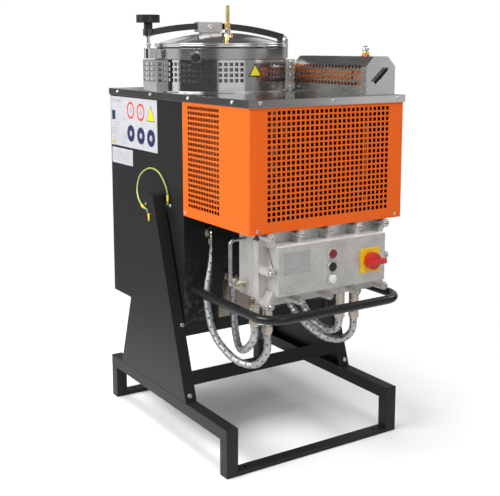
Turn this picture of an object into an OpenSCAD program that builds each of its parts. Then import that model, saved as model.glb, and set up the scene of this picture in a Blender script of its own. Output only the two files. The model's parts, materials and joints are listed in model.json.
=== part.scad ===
// Tilting solvent recycler: floor frame, tilting body on two trunnions, clamped boiler lid,
// condenser housing, flameproof control box and flexible conduits.
// Origin: on the floor, at the centre of the anchor hole pattern. X to the right, Y to the rear, Z up.

/* [Floor frame] */
// Overall width of the floor frame
frame_w = 576; // [568:2:600]
// Overall length of the floor frame
frame_l = 706; // [690:2:720]
// Height of the top rails' upper face
rail_top = 133; // [125:1:145]
// Side of the square tube
tube = 35; // [32:1:36]
// Wall of the square tube
tube_wall = 2.5; // [2:0.5:4]
// Thickness of the flat floor bars
floor_bar_t = 12; // [8:1:14]
// Anchor hole radius
anchor_r = 5.5; // [4:0.5:6.5]

/* [Support panels] */
// Height of the panels' tips
panel_top = 690; // [686:1:700]
// Length of a panel at its foot
panel_foot = 413; // [400:1:425]
// Length of a panel at its tip
panel_tip = 46; // [44:1:50]
// Sheet thickness of the panels
panel_t = 4; // [3:0.5:4]

/* [Tilt axis] */
// Tilt axis, distance behind the frame's centre
tilt_y = 70; // [68:1:72]
// Tilt axis, height
tilt_z = 650; // [648:1:652]
// Trunnion shaft radius
shaft_r = 12; // [10:0.5:12]

/* [Cabinet] */
// Outer width of the cabinet and the condenser housing
cab_w = 496; // [494:1:496]
// Rear face of the cabinet
cab_rear = 408; // [404:1:409]
// Front face of the cabinet
cab_front = -62; // [-64:1:-60]
// Underside of the cabinet
cab_bottom = 331; // [330:1:334]
// Upper face of the top plate
top_z = 980; // [976:1:984]
// Height of the top plate's rim
rim_h = 20; // [16:1:22]
// Sheet thickness
sheet = 2; // [1.5:0.5:2]

/* [Condenser housing] */
// Front face of the condenser housing
house_front = -398; // [-400:1:-396]
// Underside of the condenser housing
house_bottom = 646; // [644:1:648]

/* [Boiler] */
// Boiler axis, X
boiler_x = -20; // [-21:1:-19]
// Boiler axis, Y
boiler_y = 112; // [110:1:114]
// Inner radius of the boiler pot
pot_r = 165; // [160:1:166]
// Outer radius of the collar and the lid
lid_r = 196; // [195:1:197]
// Turn of the lid arm about the boiler axis
arm_turn = 8; // [6:1:9]

/* [Control box] */
// Width of the control box flange
box_w = 400; // [396:1:404]
// Underside of the control box flange
box_bottom = 448; // [448:1:450]
// Height of the control box flange
box_h = 196; // [194:1:197]

/* [Tilt handle] */
// Handle tube radius
handle_r = 12; // [10:0.5:12]
// Handle height
handle_z = 432; // [430:1:433]
// Front of the handle, tube centre
handle_front = -443; // [-446:1:-442]

/* [Hidden] */
$fn = 48;

black_paint = [0.15, 0.15, 0.16];
orange_paint = [0.93, 0.33, 0.08];
steel = [0.78, 0.78, 0.76];
cast_metal = [0.70, 0.70, 0.69];
brass = [0.80, 0.62, 0.28];
black_plastic = [0.08, 0.08, 0.08];
conduit_grey = [0.62, 0.63, 0.64];

// Clearance of a running fit, and the gap between other pieces that pass each other
fit = 0.05;
gap = 0.3;
// Overshoot of a cutting body
cut = 1;

// Floor frame
frame_x = frame_w / 2;
frame_y = frame_l / 2;
inner_x = frame_x - tube;
plug_t = 3;
anchor_x = inner_x - 32;
anchor_y = frame_y - tube / 2;

// Support panels: the lean is the run of an edge for each millimetre of height
panel_lean = (panel_foot - panel_tip) / 2 / (panel_top - rail_top);
panel_run = panel_t * sqrt(1 + panel_lean * panel_lean);
crossbar_low = 175;
crossbar_high = 211;
crossbar_t = 5;

// Bearings and tilt stops: a pin on the trunnion swings between two blocks
bearing_r = 18;
bush_r = 14;
bearing_end = inner_x + 9;
disc_r = 30;
stop_pin_r = 3.5;
stop_at = 22.5;
stop_angle = 135;
stop_reach = 17.3;
stop_block_t = 6;

// Cabinet and housing
cab_x = cab_w / 2;
rim_over = 3;
plate_under = top_z - sheet;
plate_front = house_front - rim_over - 1;
plate_rear = cab_rear + rim_over;
bar_h = 33;
bar_d = 25;
post_t = 3;
post_back = -109;
rim_screw_z = top_z - 8;
house_screw_z = house_bottom + 10;
screw_h = 2.5;

// Boiler
pot_wall = 3;
pot_out = pot_r + pot_wall;
jacket_out = lid_r - 6;
jacket_low = 655;
jacket_high = top_z + 90;
insulation_out = 215;
band_low = top_z + 92;
band_high = top_z + 123;
flange_t = 8;
gasket_t = 2.7;
guard_in = lid_r + 1;
guard_t = 1.5;
guard_high = band_low - 1;
// Direction of the side port in the boiler's frame, and its height
port_turn = 227;
port_z = band_low + 6;
port_r = 9;

// Lid hinge and clamp screw, in the boiler's frame
hinge_x = lid_r + 10;
hinge_z = band_high + 26;
bolt_x = -lid_r - 30;
bolt_z = band_high - 13;
socket_r = 6.6;
pin_r = 5;
eye_r = 11;
lid_low = band_high + 3;
lid_rim_t = 12;
dome_r = 184;
dome_h = 31;
dome_t = 4;
dome_ball = (dome_r * dome_r + dome_h * dome_h) / (2 * dome_h);
dome_span = asin(dome_r / dome_ball);
arm_ring_r = 900;
arm_ring_x = -30;
arm_ring_z = top_z - 712;
arm_w = 14;
arm_h = 18;
arm_ends = [74.8, 101.7];
nozzle = [13, -22];
fork_low = top_z + 159;
fork_high = top_z + 178;
knob_r = 35;
hub_r = 12.5;

// Vapour line and its cover
vapour_x = 186;
vapour_y = -315;
vapour_z = top_z + 50;
vapour_r = 22;
vapour_bend = 30;
wrap_r = 28;
cover_left = 136;
cover_right = 236;
cover_front = -372;
cover_rear = -40;
cover_top = top_z + 102;
cover_chamfer = 26;
relief_x = 198;
relief_y = -296;
// Direction and length of the vapour line's first stretch, from the boiler axis to its corner
vapour_turn = atan2(cover_rear - boiler_y, vapour_x - boiler_x);
vapour_run = norm([vapour_x - boiler_x, cover_rear - boiler_y]);

// Condenser
coil_low = 690;
coil_high = 945;
header_low = 700;
header_high = 930;
header_r = 15;
fan_z = 800;
fan_r = 120;
motor_r = 55;
motor_front = -190;
outlet_x = 205;
outlet_z = 540;
outlet_r = 8;
outlet_turn_z = 680;

// Control box
box_x = box_w / 2;
box_top = box_bottom + box_h;
body_x = box_x - 15;
body_low = box_bottom + 14;
body_high = box_top - 12;
body_back = -250;
flange_back = -338;
flange_front = -352;
cover_face = -366;
boss_front = -407;
face_y = -420;
face_x = 174;
face_low = box_bottom + 36;
face_high = box_top - 32;
cast_t = 6;
corner_cut = 22;
boss_r = 11;
boss_x = box_x - 12;
boss_low = box_bottom + 11;
boss_mid = box_bottom + 98;
boss_high = box_top - 9;
boss_places = [
    for (x = [-boss_x : boss_x / 2 : boss_x], z = [boss_low, boss_high]) [x, z],
    for (x = [-boss_x, boss_x]) [x, boss_mid]];
button_x = -8;
button_zs = [577, 543, 510];
button_r = 12;
stem_r = 4;
button_travel = 3.5;
switch_x = 121;
switch_z = 544;
switch_shaft_r = 6;
plate_half = 33;

// Tilt handle
handle_x = 222;
handle_bend = 60;

// Conduits: places of the elbows on the cabinet, and X and end height of the fittings under the box
conduit_r = 10.5;
fitting_r = 12;
nut_r = 16;
elbow_y = -88;
elbow_drop = 30;
elbow_places = [[-168, 590], [-105, 455], [70, 455], [110, 480]];
box_port_y = -300;
box_ports = [[-169, 378], [-128, 350], [117, 352], [168, 344]];
gland_y = -276;
gland_z = 490;
gland_end = -215;

// Routes of the conduits, the sensor line and the bonding wire, point by point
left_outer_route = [[-168, -88, 560], [-176, -88, 500], [-194, -95, 410], [-192, -130, 315],
    [-164, -190, 255], [-136, -250, 250], [-128, -296, 295], [-128, -300, 350]];
left_inner_route = [[-105, -88, 425], [-107, -94, 385], [-124, -130, 325], [-152, -195, 290],
    [-167, -252, 300], [-169, -296, 340], [-169, -300, 378]];
right_outer_route = [[70, -88, 425], [72, -96, 385], [90, -140, 325], [122, -200, 278],
    [152, -255, 272], [167, -292, 302], [168, -300, 344]];
right_inner_route = [[110, -88, 450], [109, -94, 415], [105, -135, 365], [105, -195, 322],
    [110, -250, 308], [116, -290, 322], [117, -300, 352]];
sensor_route = [[gland_end, gland_y, gland_z], [-222, gland_y, 491], [-227, gland_y, 496],
    [-228, gland_y, 504], [-228, gland_y, 596], [-226, gland_y, 604], [-221, gland_y, 610],
    [-213, gland_y, 612], [-body_x, gland_y, 612]];
bonding_route = [[-292, 81, 647], [-293, 104, 654], [-292, 132, 676], [-288, 144, 706],
    [-281, 133, 742], [-270, 98, 762], [-262, 58, 754], [-257, 28, 722], [-255, 17, 690],
    [-255, 19, 664]];
bond_stud = [74, 644];
cabinet_stud = [19, 662];

// A point t of the way from b to c on a smooth curve through a, b, c and d
function between(a, b, c, d, t) = 0.5 * (2 * b + (c - a) * t
    + (2 * a - 5 * b + 4 * c - d) * t * t + (3 * b - a - 3 * c + d) * t * t * t);
// The route with a point added halfway along each stretch
function smooth(p) = [
    for (i = [0 : len(p) - 2], t = [0, 0.5])
        between(p[max(i - 1, 0)], p[i], p[i + 1], p[min(i + 2, len(p) - 1)], t),
    p[len(p) - 1]];
function unit(v) = v / norm(v);
// Direction of the route at its point i, where ends holds its directions at the first and last points
function heading(p, ends, i) = i == 0 ? ends[0] : i == len(p) - 1 ? ends[1]
    : unit(p[i + 1] - p[i - 1]);
// A ring of points around the route's point i, square to the route
function ring(p, ends, i, r, sides, side_axis) =
    let (t = heading(p, ends, i), a = unit(cross(t, side_axis)), b = cross(t, a))
    [for (k = [0 : sides - 1]) p[i] + r * (cos(360 * k / sides) * a + sin(360 * k / sides) * b)];

// A round tube along a route, which never runs along side_axis
module sweep(route, ends, r, sides, side_axis) {
    last = len(route) - 1;
    polyhedron(
        points = [for (i = [0 : last]) each ring(route, ends, i, r, sides, side_axis)],
        faces = [
            [for (k = [0 : sides - 1]) k],
            for (i = [0 : last - 1], k = [0 : sides - 1])
                [i * sides + k, (i + 1) * sides + k,
                    (i + 1) * sides + (k + 1) % sides, i * sides + (k + 1) % sides],
            [for (k = [sides - 1 : -1 : 0]) last * sides + k]]);
}

// Boxes and rods given by their ends
module span(a, b) translate(a) cube(b - a);
module rod_x(x0, x1, y, z, r) translate([x0, y, z]) rotate([0, 90, 0]) cylinder(h = x1 - x0, r = r);
module rod_y(y0, y1, x, z, r) translate([x, y1, z]) rotate([90, 0, 0]) cylinder(h = y1 - y0, r = r);
module rod_z(z0, z1, x, y, r) translate([x, y, z0]) cylinder(h = z1 - z0, r = r);
module hex_z(z0, z1, x, y, r) translate([x, y, z0]) cylinder(h = z1 - z0, r = r, $fn = 6);
module pipe_z(z0, z1, r_in, r_out) difference() {
    rod_z(z0, z1, 0, 0, r_out);
    rod_z(z0 - cut, z1 + cut, 0, 0, r_in);
}
module ball(x, y, z, r) translate([x, y, z]) sphere(r = r);
// An outline drawn in Y and Z, or in X and Z, given thickness
module along_x(x0, x1) translate([x0, 0, 0]) rotate([90, 0, 90]) linear_extrude(x1 - x0) children();
module along_y(y0, y1) translate([0, y1, 0]) rotate([90, 0, 0]) linear_extrude(y1 - y0) children();
module both_sides() {
    children();
    mirror([1, 0, 0]) children();
}
module both_ends() {
    children();
    mirror([0, 1, 0]) children();
}
// The boiler's own frame, with the lid hinge along +X and the clamp screw along -X
module at_boiler() translate([boiler_x, boiler_y, 0]) rotate([0, 0, -arm_turn]) children();
module at_port() at_boiler() rotate([0, 0, port_turn]) children();

// ---- Floor frame ----

module rails() color(black_paint) both_sides() difference() {
    span([inner_x, plug_t - frame_y, rail_top - tube], [frame_x, frame_y - plug_t, rail_top]);
    span([inner_x + tube_wall, -frame_y, rail_top - tube + tube_wall],
        [frame_x - tube_wall, frame_y, rail_top - tube_wall]);
}

module legs() color(black_paint) both_sides() both_ends() difference() {
    span([inner_x, frame_y - tube, 0], [frame_x, frame_y, rail_top - tube]);
    span([inner_x + tube_wall, frame_y - tube + tube_wall, plug_t],
        [frame_x - tube_wall, frame_y - tube_wall, rail_top]);
}

module rail_plugs() color(black_plastic) both_sides() both_ends()
    span([inner_x, frame_y - plug_t, rail_top - tube], [frame_x, frame_y, rail_top]);

module floor_bars() color(black_paint) both_ends() difference() {
    span([-inner_x, frame_y - tube, 0], [inner_x, frame_y, floor_bar_t]);
    both_sides() rod_z(-cut, floor_bar_t + cut, anchor_x, anchor_y, anchor_r);
}

// Y of a panel's front edge at height z
function panel_edge(z) = tilt_y - panel_foot / 2 + panel_lean * (z - rail_top);

module panel_flange() along_x(inner_x, frame_x) polygon([
    [panel_edge(rail_top), rail_top], [panel_edge(rail_top) + panel_run, rail_top],
    [panel_edge(panel_top) + panel_run, panel_top], [panel_edge(panel_top), panel_top]]);

module panel() {
    along_x(frame_x - panel_t, frame_x) polygon([
        [panel_edge(rail_top), rail_top], [2 * tilt_y - panel_edge(rail_top), rail_top],
        [2 * tilt_y - panel_edge(panel_top), panel_top], [panel_edge(panel_top), panel_top]]);
    panel_flange();
    translate([0, 2 * tilt_y, 0]) mirror([0, 1, 0]) panel_flange();
    span([inner_x, panel_edge(panel_top), panel_top - panel_t],
        [frame_x, 2 * tilt_y - panel_edge(panel_top), panel_top]);
}

module left_panel() color(black_paint) mirror([1, 0, 0]) panel();
module right_panel() color(black_paint) panel();

module crossbar() color(black_paint) along_x(-inner_x, inner_x) polygon([
    [panel_edge(crossbar_low), crossbar_low], [panel_edge(crossbar_low) + crossbar_t, crossbar_low],
    [panel_edge(crossbar_high) + crossbar_t, crossbar_high], [panel_edge(crossbar_high), crossbar_high]]);

module flange_bolt(x, z) translate([x, panel_edge(z), z]) rotate([90 - atan(panel_lean), 0, 0])
    cylinder(h = 4, r = 7, $fn = 6);

// Bolts of the panel flanges, and the earthing studs on the left panel
module flange_bolts() color(steel) {
    both_sides() {
        flange_bolt(inner_x + 8, 336);
        flange_bolt(inner_x + 20, 150);
    }
    rod_x(-frame_x - 6, -frame_x, bond_stud.x, bond_stud.y, 6);
    rod_x(-frame_x - 4, -frame_x, bond_stud.x + 13, bond_stud.y + 17, 5);
}

module stop_block(angle) translate([0, tilt_y, tilt_z]) rotate([angle, 0, 0])
    span([inner_x + 3, stop_at - stop_pin_r, -stop_block_t / 2],
        [frame_x - panel_t, stop_at + stop_pin_r, stop_block_t / 2]);

// Bearing housings welded inside the panels, each with its two tilt stops
module bearing_housings() color(black_paint) both_sides() {
    difference() {
        rod_x(bearing_end, frame_x - panel_t, tilt_y, tilt_z, bearing_r);
        rod_x(bearing_end - cut, frame_x, tilt_y, tilt_z, bush_r);
    }
    stop_block(stop_angle + stop_reach);
    stop_block(180 - stop_angle - stop_reach);
}

module bushes() color(brass) both_sides() difference() {
    rod_x(bearing_end, frame_x - panel_t, tilt_y, tilt_z, bush_r);
    rod_x(bearing_end - cut, frame_x, tilt_y, tilt_z, shaft_r + fit);
}

// ---- Tilting body ----

module trunnions() color(steel) both_sides() {
    rod_x(cab_x, inner_x - 0.5, tilt_y, tilt_z, disc_r);
    rod_x(cab_x, frame_x - panel_t - 0.5, tilt_y, tilt_z, shaft_r);
    translate([0, tilt_y, tilt_z]) rotate([stop_angle, 0, 0])
        rod_x(cab_x, inner_x + 11, stop_at, 0, stop_pin_r);
}

// Four walls; the front one opens into the housing, where the boiler bulges through
module cabinet_shell() color(black_paint) difference() {
    span([-cab_x, cab_front, cab_bottom + sheet], [cab_x, cab_rear, plate_under]);
    span([sheet - cab_x, cab_front + sheet, cab_bottom], [cab_x - sheet, cab_rear - sheet, top_z]);
    span([sheet - cab_x, cab_front - cut, house_bottom + sheet],
        [cab_x - sheet, cab_front + sheet + cut, plate_under + cut]);
}

// Bottom of the cabinet with its hollow front bar, and bottom of the condenser housing
module floor_plates() color(black_paint) {
    span([-cab_x, cab_front, cab_bottom], [cab_x, cab_rear, cab_bottom + sheet]);
    difference() {
        span([-cab_x, cab_front, cab_bottom - bar_h], [cab_x, cab_front + bar_d, cab_bottom + sheet]);
        span([-cab_x - cut, cab_front + sheet, cab_bottom - bar_h + sheet],
            [cab_x + cut, cab_front + bar_d - sheet, cab_bottom - sheet]);
    }
    difference() {
        span([sheet - cab_x, house_front + sheet, house_bottom],
            [cab_x - sheet, cab_front, house_bottom + sheet]);
        rod_z(house_bottom - cut, house_bottom + sheet + cut, outlet_x, vapour_y, outlet_r + 2);
    }
}

// Post between the cabinet's foot and the condenser housing
module front_post() color(black_paint) {
    span([-186, post_back - post_t, 395], [-152, post_back, house_bottom]);
    span([-178, post_back - post_t, 340], [-166, post_back, 400]);
    span([-178, post_back - post_t, 340], [-166, cab_front, 340 + post_t]);
}

module top_plate() color(steel) difference() {
    span([-cab_x - rim_over, plate_front, top_z - rim_h], [cab_x + rim_over, plate_rear, top_z]);
    span([-cab_x - 1, plate_front + sheet, 0], [cab_x + 1, plate_rear - sheet, plate_under]);
    at_boiler() rod_z(plate_under - cut, top_z + cut, 0, 0, jacket_out + 2);
    rod_z(plate_under - cut, top_z + cut, vapour_x, vapour_y, vapour_r + 3);
}

module condenser_housing() color(orange_paint) difference() {
    span([-cab_x, house_front, house_bottom], [cab_x, cab_front, plate_under]);
    span([sheet - cab_x, house_front + sheet, 0], [cab_x - sheet, 0, top_z]);
}

// Heads of the sheet screws and of the cover screws, and the cabinet's earthing stud
module sheet_screws() color(steel) {
    for (x = [-219, 3, 223]) rod_y(plate_front - screw_h, plate_front, x, rim_screw_z, 4);
    both_sides() {
        for (y = [-323, -99, 125, 348])
            rod_x(cab_x + rim_over, cab_x + rim_over + screw_h, y, rim_screw_z, 4);
        rod_x(cab_x, cab_x + screw_h, cab_front - 12, house_screw_z, 5);
        rod_y(house_front - screw_h, house_front, 225, house_screw_z, 5);
    }
    for (p = boss_places) rod_y(boss_front - 6, boss_front, p.x, p.y, 6);
    rod_x(-cab_x - 4, -cab_x, cabinet_stud.x, cabinet_stud.y, 6);
}

// ---- Boiler ----

module boiler_pot() color(steel) at_boiler() rotate_extrude($fn = 96) polygon([
    [0, jacket_low + 15], [60, jacket_low + 15], [pot_out, jacket_low + 45],
    [pot_out, band_high - flange_t], [jacket_out, band_high - flange_t], [jacket_out, band_high],
    [pot_r, band_high], [pot_r, jacket_low + 48], [59, jacket_low + 18], [0, jacket_low + 18]]);

// Oil jacket around the pot, on three legs
module oil_jacket() color(steel) at_boiler() {
    rotate_extrude($fn = 96) polygon([
        [0, jacket_low], [jacket_out, jacket_low], [jacket_out, jacket_high],
        [pot_out + gap, jacket_high], [pot_out + gap, jacket_high - pot_wall],
        [jacket_out - pot_wall, jacket_high - pot_wall], [jacket_out - pot_wall, jacket_low + pot_wall],
        [0, jacket_low + pot_wall]]);
    for (turn = [30, 150, 270]) rotate([0, 0, turn]) rod_z(cab_bottom + sheet, jacket_low, 140, 0, 12);
}

module heating_elements() color([0.35, 0.33, 0.32]) at_boiler() for (z = [730 : 30 : 820])
    translate([0, 0, z]) rotate_extrude() translate([(pot_out + jacket_out - pot_wall) / 2, 0]) circle(r = 5);

module insulation() color([0.85, 0.80, 0.55]) at_boiler()
    pipe_z(jacket_low + 5, plate_under - 18, jacket_out + gap, insulation_out);

module collar() color(steel) {
    at_boiler() difference() {
        pipe_z(band_low, band_high, jacket_out, lid_r);
        rotate([0, 0, port_turn]) rod_x(jacket_out - 5, lid_r + 20, 0, port_z, port_r);
    }
    at_port() difference() {
        rod_x(lid_r - 5, lid_r + 8, 0, port_z, 15);
        rod_x(lid_r - 6, lid_r + 9, 0, port_z, port_r);
        rod_z(0, 2 * band_high, 0, 0, lid_r - 3);
    }
}

module port_plug() color(black_plastic) at_port() {
    rod_x(jacket_out, lid_r + 8, 0, port_z, port_r);
    rod_x(lid_r + 8, lid_r + 13, 0, port_z, 12);
}

module gasket() color(black_plastic) at_boiler()
    pipe_z(band_high, band_high + gasket_t, pot_r + 6, jacket_out - 1);

// Perforated guard around the hot jacket, with the square bay below the clamp screw
module guard_ring() color(steel) difference() {
    at_boiler() {
        pipe_z(top_z, guard_high, guard_in, guard_in + guard_t);
        pipe_z(top_z, top_z + 3, guard_in, guard_in + 14);
        difference() {
            span([-224, -60, top_z], [-guard_in + 10, 60, guard_high]);
            span([guard_t - 224, guard_t - 60, 0], [0, 60 - guard_t, guard_high - guard_t]);
            rod_z(0, 2 * top_z, 0, 0, guard_in);
        }
    }
    translate([boiler_x, boiler_y, 0]) rotate([0, 0, vapour_turn])
        rod_x(guard_in - 50, guard_in + 50, 0, vapour_z, wrap_r + 1);
    at_port() rod_x(guard_in - 5, guard_in + 5, 0, port_z, 16);
}

// Lug with the wide-mouthed socket that takes the clamp screw's end
module bolt_lug() color(steel) at_boiler() difference() {
    union() {
        span([-lid_r - 12, -22, bolt_z - 16], [5 - lid_r, 22, bolt_z + 10]);
        span([bolt_x, -13, bolt_z - 16], [-lid_r - 8, 13, bolt_z + 14]);
        rod_z(bolt_z - 16, bolt_z + 14, bolt_x, 0, 13);
    }
    rod_z(0, 2 * band_high, 0, 0, lid_r);
    rod_z(bolt_z - 4, bolt_z + 15, bolt_x, 0, socket_r);
}

module lid_hinge_bracket() color(steel) at_boiler() {
    difference() {
        span([lid_r - 6, -22, band_low + 2], [hinge_x + 8, 22, band_high - 4]);
        rod_z(0, 2 * band_high, 0, 0, lid_r);
    }
    for (s = [-1, 1]) translate([0, 18 * s, 0]) {
        span([lid_r + 2, -4, band_high - 20], [hinge_x + 8, 4, hinge_z]);
        rod_y(-4, 4, hinge_x, hinge_z, 9);
    }
    rod_y(-25, 25, hinge_x, hinge_z, pin_r);
}

// ---- Vapour line ----

// Insulated from the jacket to the bend, then bare through the top plate
module vapour_pipe() {
    color(orange_paint) {
        difference() {
            translate([boiler_x, boiler_y, 0]) rotate([0, 0, vapour_turn])
                rod_x(jacket_out - 10, vapour_run, 0, vapour_z, wrap_r);
            translate([boiler_x, boiler_y, 0]) rod_z(0, 2 * top_z, 0, 0, jacket_out + gap);
        }
        ball(vapour_x, cover_rear, vapour_z, wrap_r + 1);
        rod_y(vapour_y + vapour_bend, cover_rear, vapour_x, vapour_z, wrap_r);
    }
    color(steel) {
        translate([vapour_x, vapour_y + vapour_bend, vapour_z - vapour_bend]) rotate([90, 0, -90])
            rotate_extrude(angle = 90) translate([vapour_bend, 0]) circle(r = vapour_r);
        rod_z(header_high, vapour_z - vapour_bend, vapour_x, vapour_y, vapour_r);
    }
}

// Section of the pipe cover, drawn inset from its outer faces
module cover_outline(inset, low) polygon([
    [cover_left + inset, low], [cover_left + inset, cover_top - cover_chamfer - inset / 2],
    [cover_left + cover_chamfer + inset / 2, cover_top - inset],
    [cover_right - cover_chamfer - inset / 2, cover_top - inset],
    [cover_right - inset, cover_top - cover_chamfer - inset / 2], [cover_right - inset, low]]);

module pipe_cover() color(steel) difference() {
    along_y(cover_front, cover_rear) cover_outline(0, top_z);
    along_y(cover_front - cut, cover_rear + cut) cover_outline(guard_t, top_z - cut);
}

// End cap, with a slanting slot under a small hood
module pipe_cover_cap() color(steel) {
    cap_t = 3;
    slot = [(cover_left + cover_right) / 2, 0, top_z + 50];
    difference() {
        along_y(cover_front - cap_t, cover_front) cover_outline(0, top_z);
        translate(slot) rotate([0, -40, 0])
            span([-28, cover_front - cap_t - cut, -5], [28, cover_front + cut, 5]);
    }
    translate(slot) rotate([0, -40, 0]) span([-28, cover_front - 14, 5], [28, cover_front, 6.5]);
}

module relief_fitting() {
    color(orange_paint) rod_z(cover_top, cover_top + 3, relief_x, relief_y, 12);
    color(brass) hex_z(cover_top + 3, cover_top + 11, relief_x, relief_y, 11);
    color(steel) {
        rod_z(cover_top + 11, cover_top + 20, relief_x, relief_y, 7);
        ball(relief_x, relief_y, cover_top + 20, 9);
    }
}

// ---- Condenser ----

module condenser_coil() color([0.75, 0.50, 0.35]) {
    rod_z(header_low, header_high, vapour_x, vapour_y, header_r);
    rod_z(header_low, header_high, -190, vapour_y, 10);
    for (z = [720 : 50 : 920]) rod_x(-190, vapour_x, vapour_y, z, 8);
    for (x = [-120 : 60 : 120]) span([x - 1, vapour_y - 22, coil_low], [x + 1, vapour_y + 22, coil_high]);
    both_sides() span([158, vapour_y - 24, house_bottom + sheet], [160, vapour_y + 24, coil_high]);
}

module fan_shroud() color(black_paint) difference() {
    union() {
        span([-170, -246, house_bottom + sheet], [170, -243, 950]);
        rod_y(-246, -205, 0, fan_z, fan_r + 8);
    }
    rod_y(-260, -200, 0, fan_z, fan_r + 5);
}

module fan_motor() color([0.30, 0.31, 0.33]) difference() {
    union() {
        rod_y(motor_front, -115, 0, fan_z, motor_r);
        span([-35, -170, house_bottom + sheet], [35, -120, fan_z - 30]);
    }
    rod_y(motor_front - cut, -130, 0, fan_z, 7 + fit);
}

module fan() color([0.20, 0.20, 0.21]) {
    rod_y(-232, -200, 0, fan_z, 38);
    rod_y(-232, -131, 0, fan_z, 7);
    for (turn = [0 : 60 : 300]) translate([0, -216, fan_z]) rotate([0, turn, 0]) rotate([25, 0, 0])
        span([30, -1.5, -20], [fan_r - 3, 1.5, 20]);
}

module distillate_outlet() color(steel) {
    rod_z(outlet_turn_z, header_low, vapour_x, vapour_y, outlet_r);
    rod_x(vapour_x, outlet_x, vapour_y, outlet_turn_z, outlet_r);
    ball(vapour_x, vapour_y, outlet_turn_z, outlet_r + 1);
    ball(outlet_x, vapour_y, outlet_turn_z, outlet_r + 1);
    rod_z(outlet_z, outlet_turn_z, outlet_x, vapour_y, outlet_r);
    rod_z(606, 618, outlet_x, vapour_y, 14);
}

// ---- Control box ----

module flange_outline() polygon([
    [corner_cut - box_x, box_bottom], [box_x - corner_cut, box_bottom],
    [box_x, box_bottom + corner_cut], [box_x, box_top - corner_cut],
    [box_x - corner_cut, box_top], [corner_cut - box_x, box_top],
    [-box_x, box_top - corner_cut], [-box_x, box_bottom + corner_cut]]);

module control_box() color(cast_metal) {
    difference() {
        union() {
            span([-body_x, flange_back, body_low], [body_x, body_back, body_high]);
            along_y(flange_front, flange_back) flange_outline();
        }
        span([cast_t - body_x, flange_front - cut, body_low + cast_t],
            [body_x - cast_t, body_back - cast_t, body_high - cast_t]);
    }
    both_sides() span([105, -310, body_high], [135, -270, house_bottom]);
}

// A screw boss with its rib towards the raised block
module boss(x, z) {
    rib_x = min(max(x, -face_x), face_x);
    rib_z = min(max(z, face_low), face_high);
    rod_y(boss_front, cover_face, x, z, boss_r);
    translate([x, 0, z]) rotate([0, -atan2(rib_z - z, rib_x - x), 0])
        span([0, boss_front + 8, -7], [norm([rib_x - x, rib_z - z]) + 5, cover_face, 7]);
}

module control_cover() color(cast_metal) difference() {
    union() {
        along_y(cover_face, flange_front) flange_outline();
        span([-face_x, face_y, face_low], [face_x, cover_face, face_high]);
        for (p = boss_places) boss(p.x, p.y);
    }
    span([cast_t - face_x, face_y + cast_t, face_low + cast_t],
        [face_x - cast_t, flange_front + cut, face_high - cast_t]);
    rod_y(face_y - cut, face_y + 2 * cast_t, switch_x, switch_z, switch_shaft_r + fit);
    for (i = [0, 1]) rod_y(face_y - cut, face_y + 2 * cast_t, button_x, button_zs[i], stem_r + gap);
}

// Mounting plate, relays and terminals inside the box
module control_gear() color([0.55, 0.56, 0.50]) {
    inner_back = body_back - cast_t;
    span([-150, inner_back - 6, 480], [150, inner_back, 615]);
    for (x = [-110 : 60 : 10]) span([x - 22, inner_back - 64, 520], [x + 22, inner_back - 6, 600]);
    for (x = [60 : 16 : 140]) span([x - 6, inner_back - 44, 500], [x + 6, inner_back - 6, 545]);
}

module rating_plates() color(steel) {
    span([-157, face_y - 1, 540], [-78, face_y, 594]);
    translate([-140, face_y - 1, 498]) rotate([-90, -90, 0]) cylinder(h = 1, r = 16, $fn = 3);
}

module switch_plate() color([0.98, 0.80, 0.05]) difference() {
    span([switch_x - plate_half, face_y - 4, switch_z - plate_half],
        [switch_x + plate_half, face_y, switch_z + plate_half]);
    rod_y(face_y - 5, face_y + cut, switch_x, switch_z, switch_shaft_r + fit);
}

module switch_knob() color([0.85, 0.08, 0.08]) {
    rod_y(face_y - 22, face_y - 4 - gap, switch_x, switch_z, 23);
    span([switch_x - 21, face_y - 34, switch_z - 7], [switch_x + 32, face_y - 22, switch_z + 7]);
    rod_y(face_y - 5, face_y + 20, switch_x, switch_z, switch_shaft_r);
}

module button_collars() color([0.25, 0.25, 0.26]) for (z = button_zs) difference() {
    rod_y(face_y - 7, face_y, button_x, z, button_r + 3);
    rod_y(face_y - 8, face_y + cut, button_x, z, button_r + gap);
}

module push_button(z) {
    rod_y(face_y - 11, face_y - button_travel - gap, button_x, z, button_r);
    rod_y(face_y - 5, face_y + 12, button_x, z, stem_r);
}

module red_button() color([0.75, 0.05, 0.08]) push_button(button_zs[0]);
module black_button() color(black_plastic) push_button(button_zs[1]);

module pilot_lamp() color([0.95, 0.95, 0.93]) {
    rod_y(face_y - 8, face_y, button_x, button_zs[2], button_r);
    rod_y(face_y - 13, face_y - 8, button_x, button_zs[2], 8);
}

// ---- Conduits ----

module wall_elbow(x, z) {
    rod_y(elbow_y, cab_front, x, z, fitting_r);
    rod_y(cab_front - 8, cab_front, x, z, nut_r);
    ball(x, elbow_y, z, fitting_r + 2);
    rod_z(z - elbow_drop, z, x, elbow_y, fitting_r);
    hex_z(z - elbow_drop + 2, z - 14, x, elbow_y, nut_r);
}

module box_fitting(x, z) {
    rod_z(z, body_low, x, box_port_y, fitting_r);
    hex_z(z + 6, z + 22, x, box_port_y, nut_r);
    rod_z(z + 28, body_low - 24, x, box_port_y, fitting_r + 2);
    hex_z(body_low - 18, body_low - 6, x, box_port_y, nut_r);
}

module conduit_fittings() {
    color([0.72, 0.70, 0.62]) {
        for (p = elbow_places) wall_elbow(p.x, p.y);
        for (p = box_ports) box_fitting(p.x, p.y);
    }
    color(brass) {
        rod_x(gland_end, -body_x, gland_y, gland_z, 9);
        rod_x(gland_end + 6, gland_end + 16, gland_y, gland_z, 13);
        rod_x(body_x, body_x + 30, -280, 500, 14);
    }
}

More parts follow.
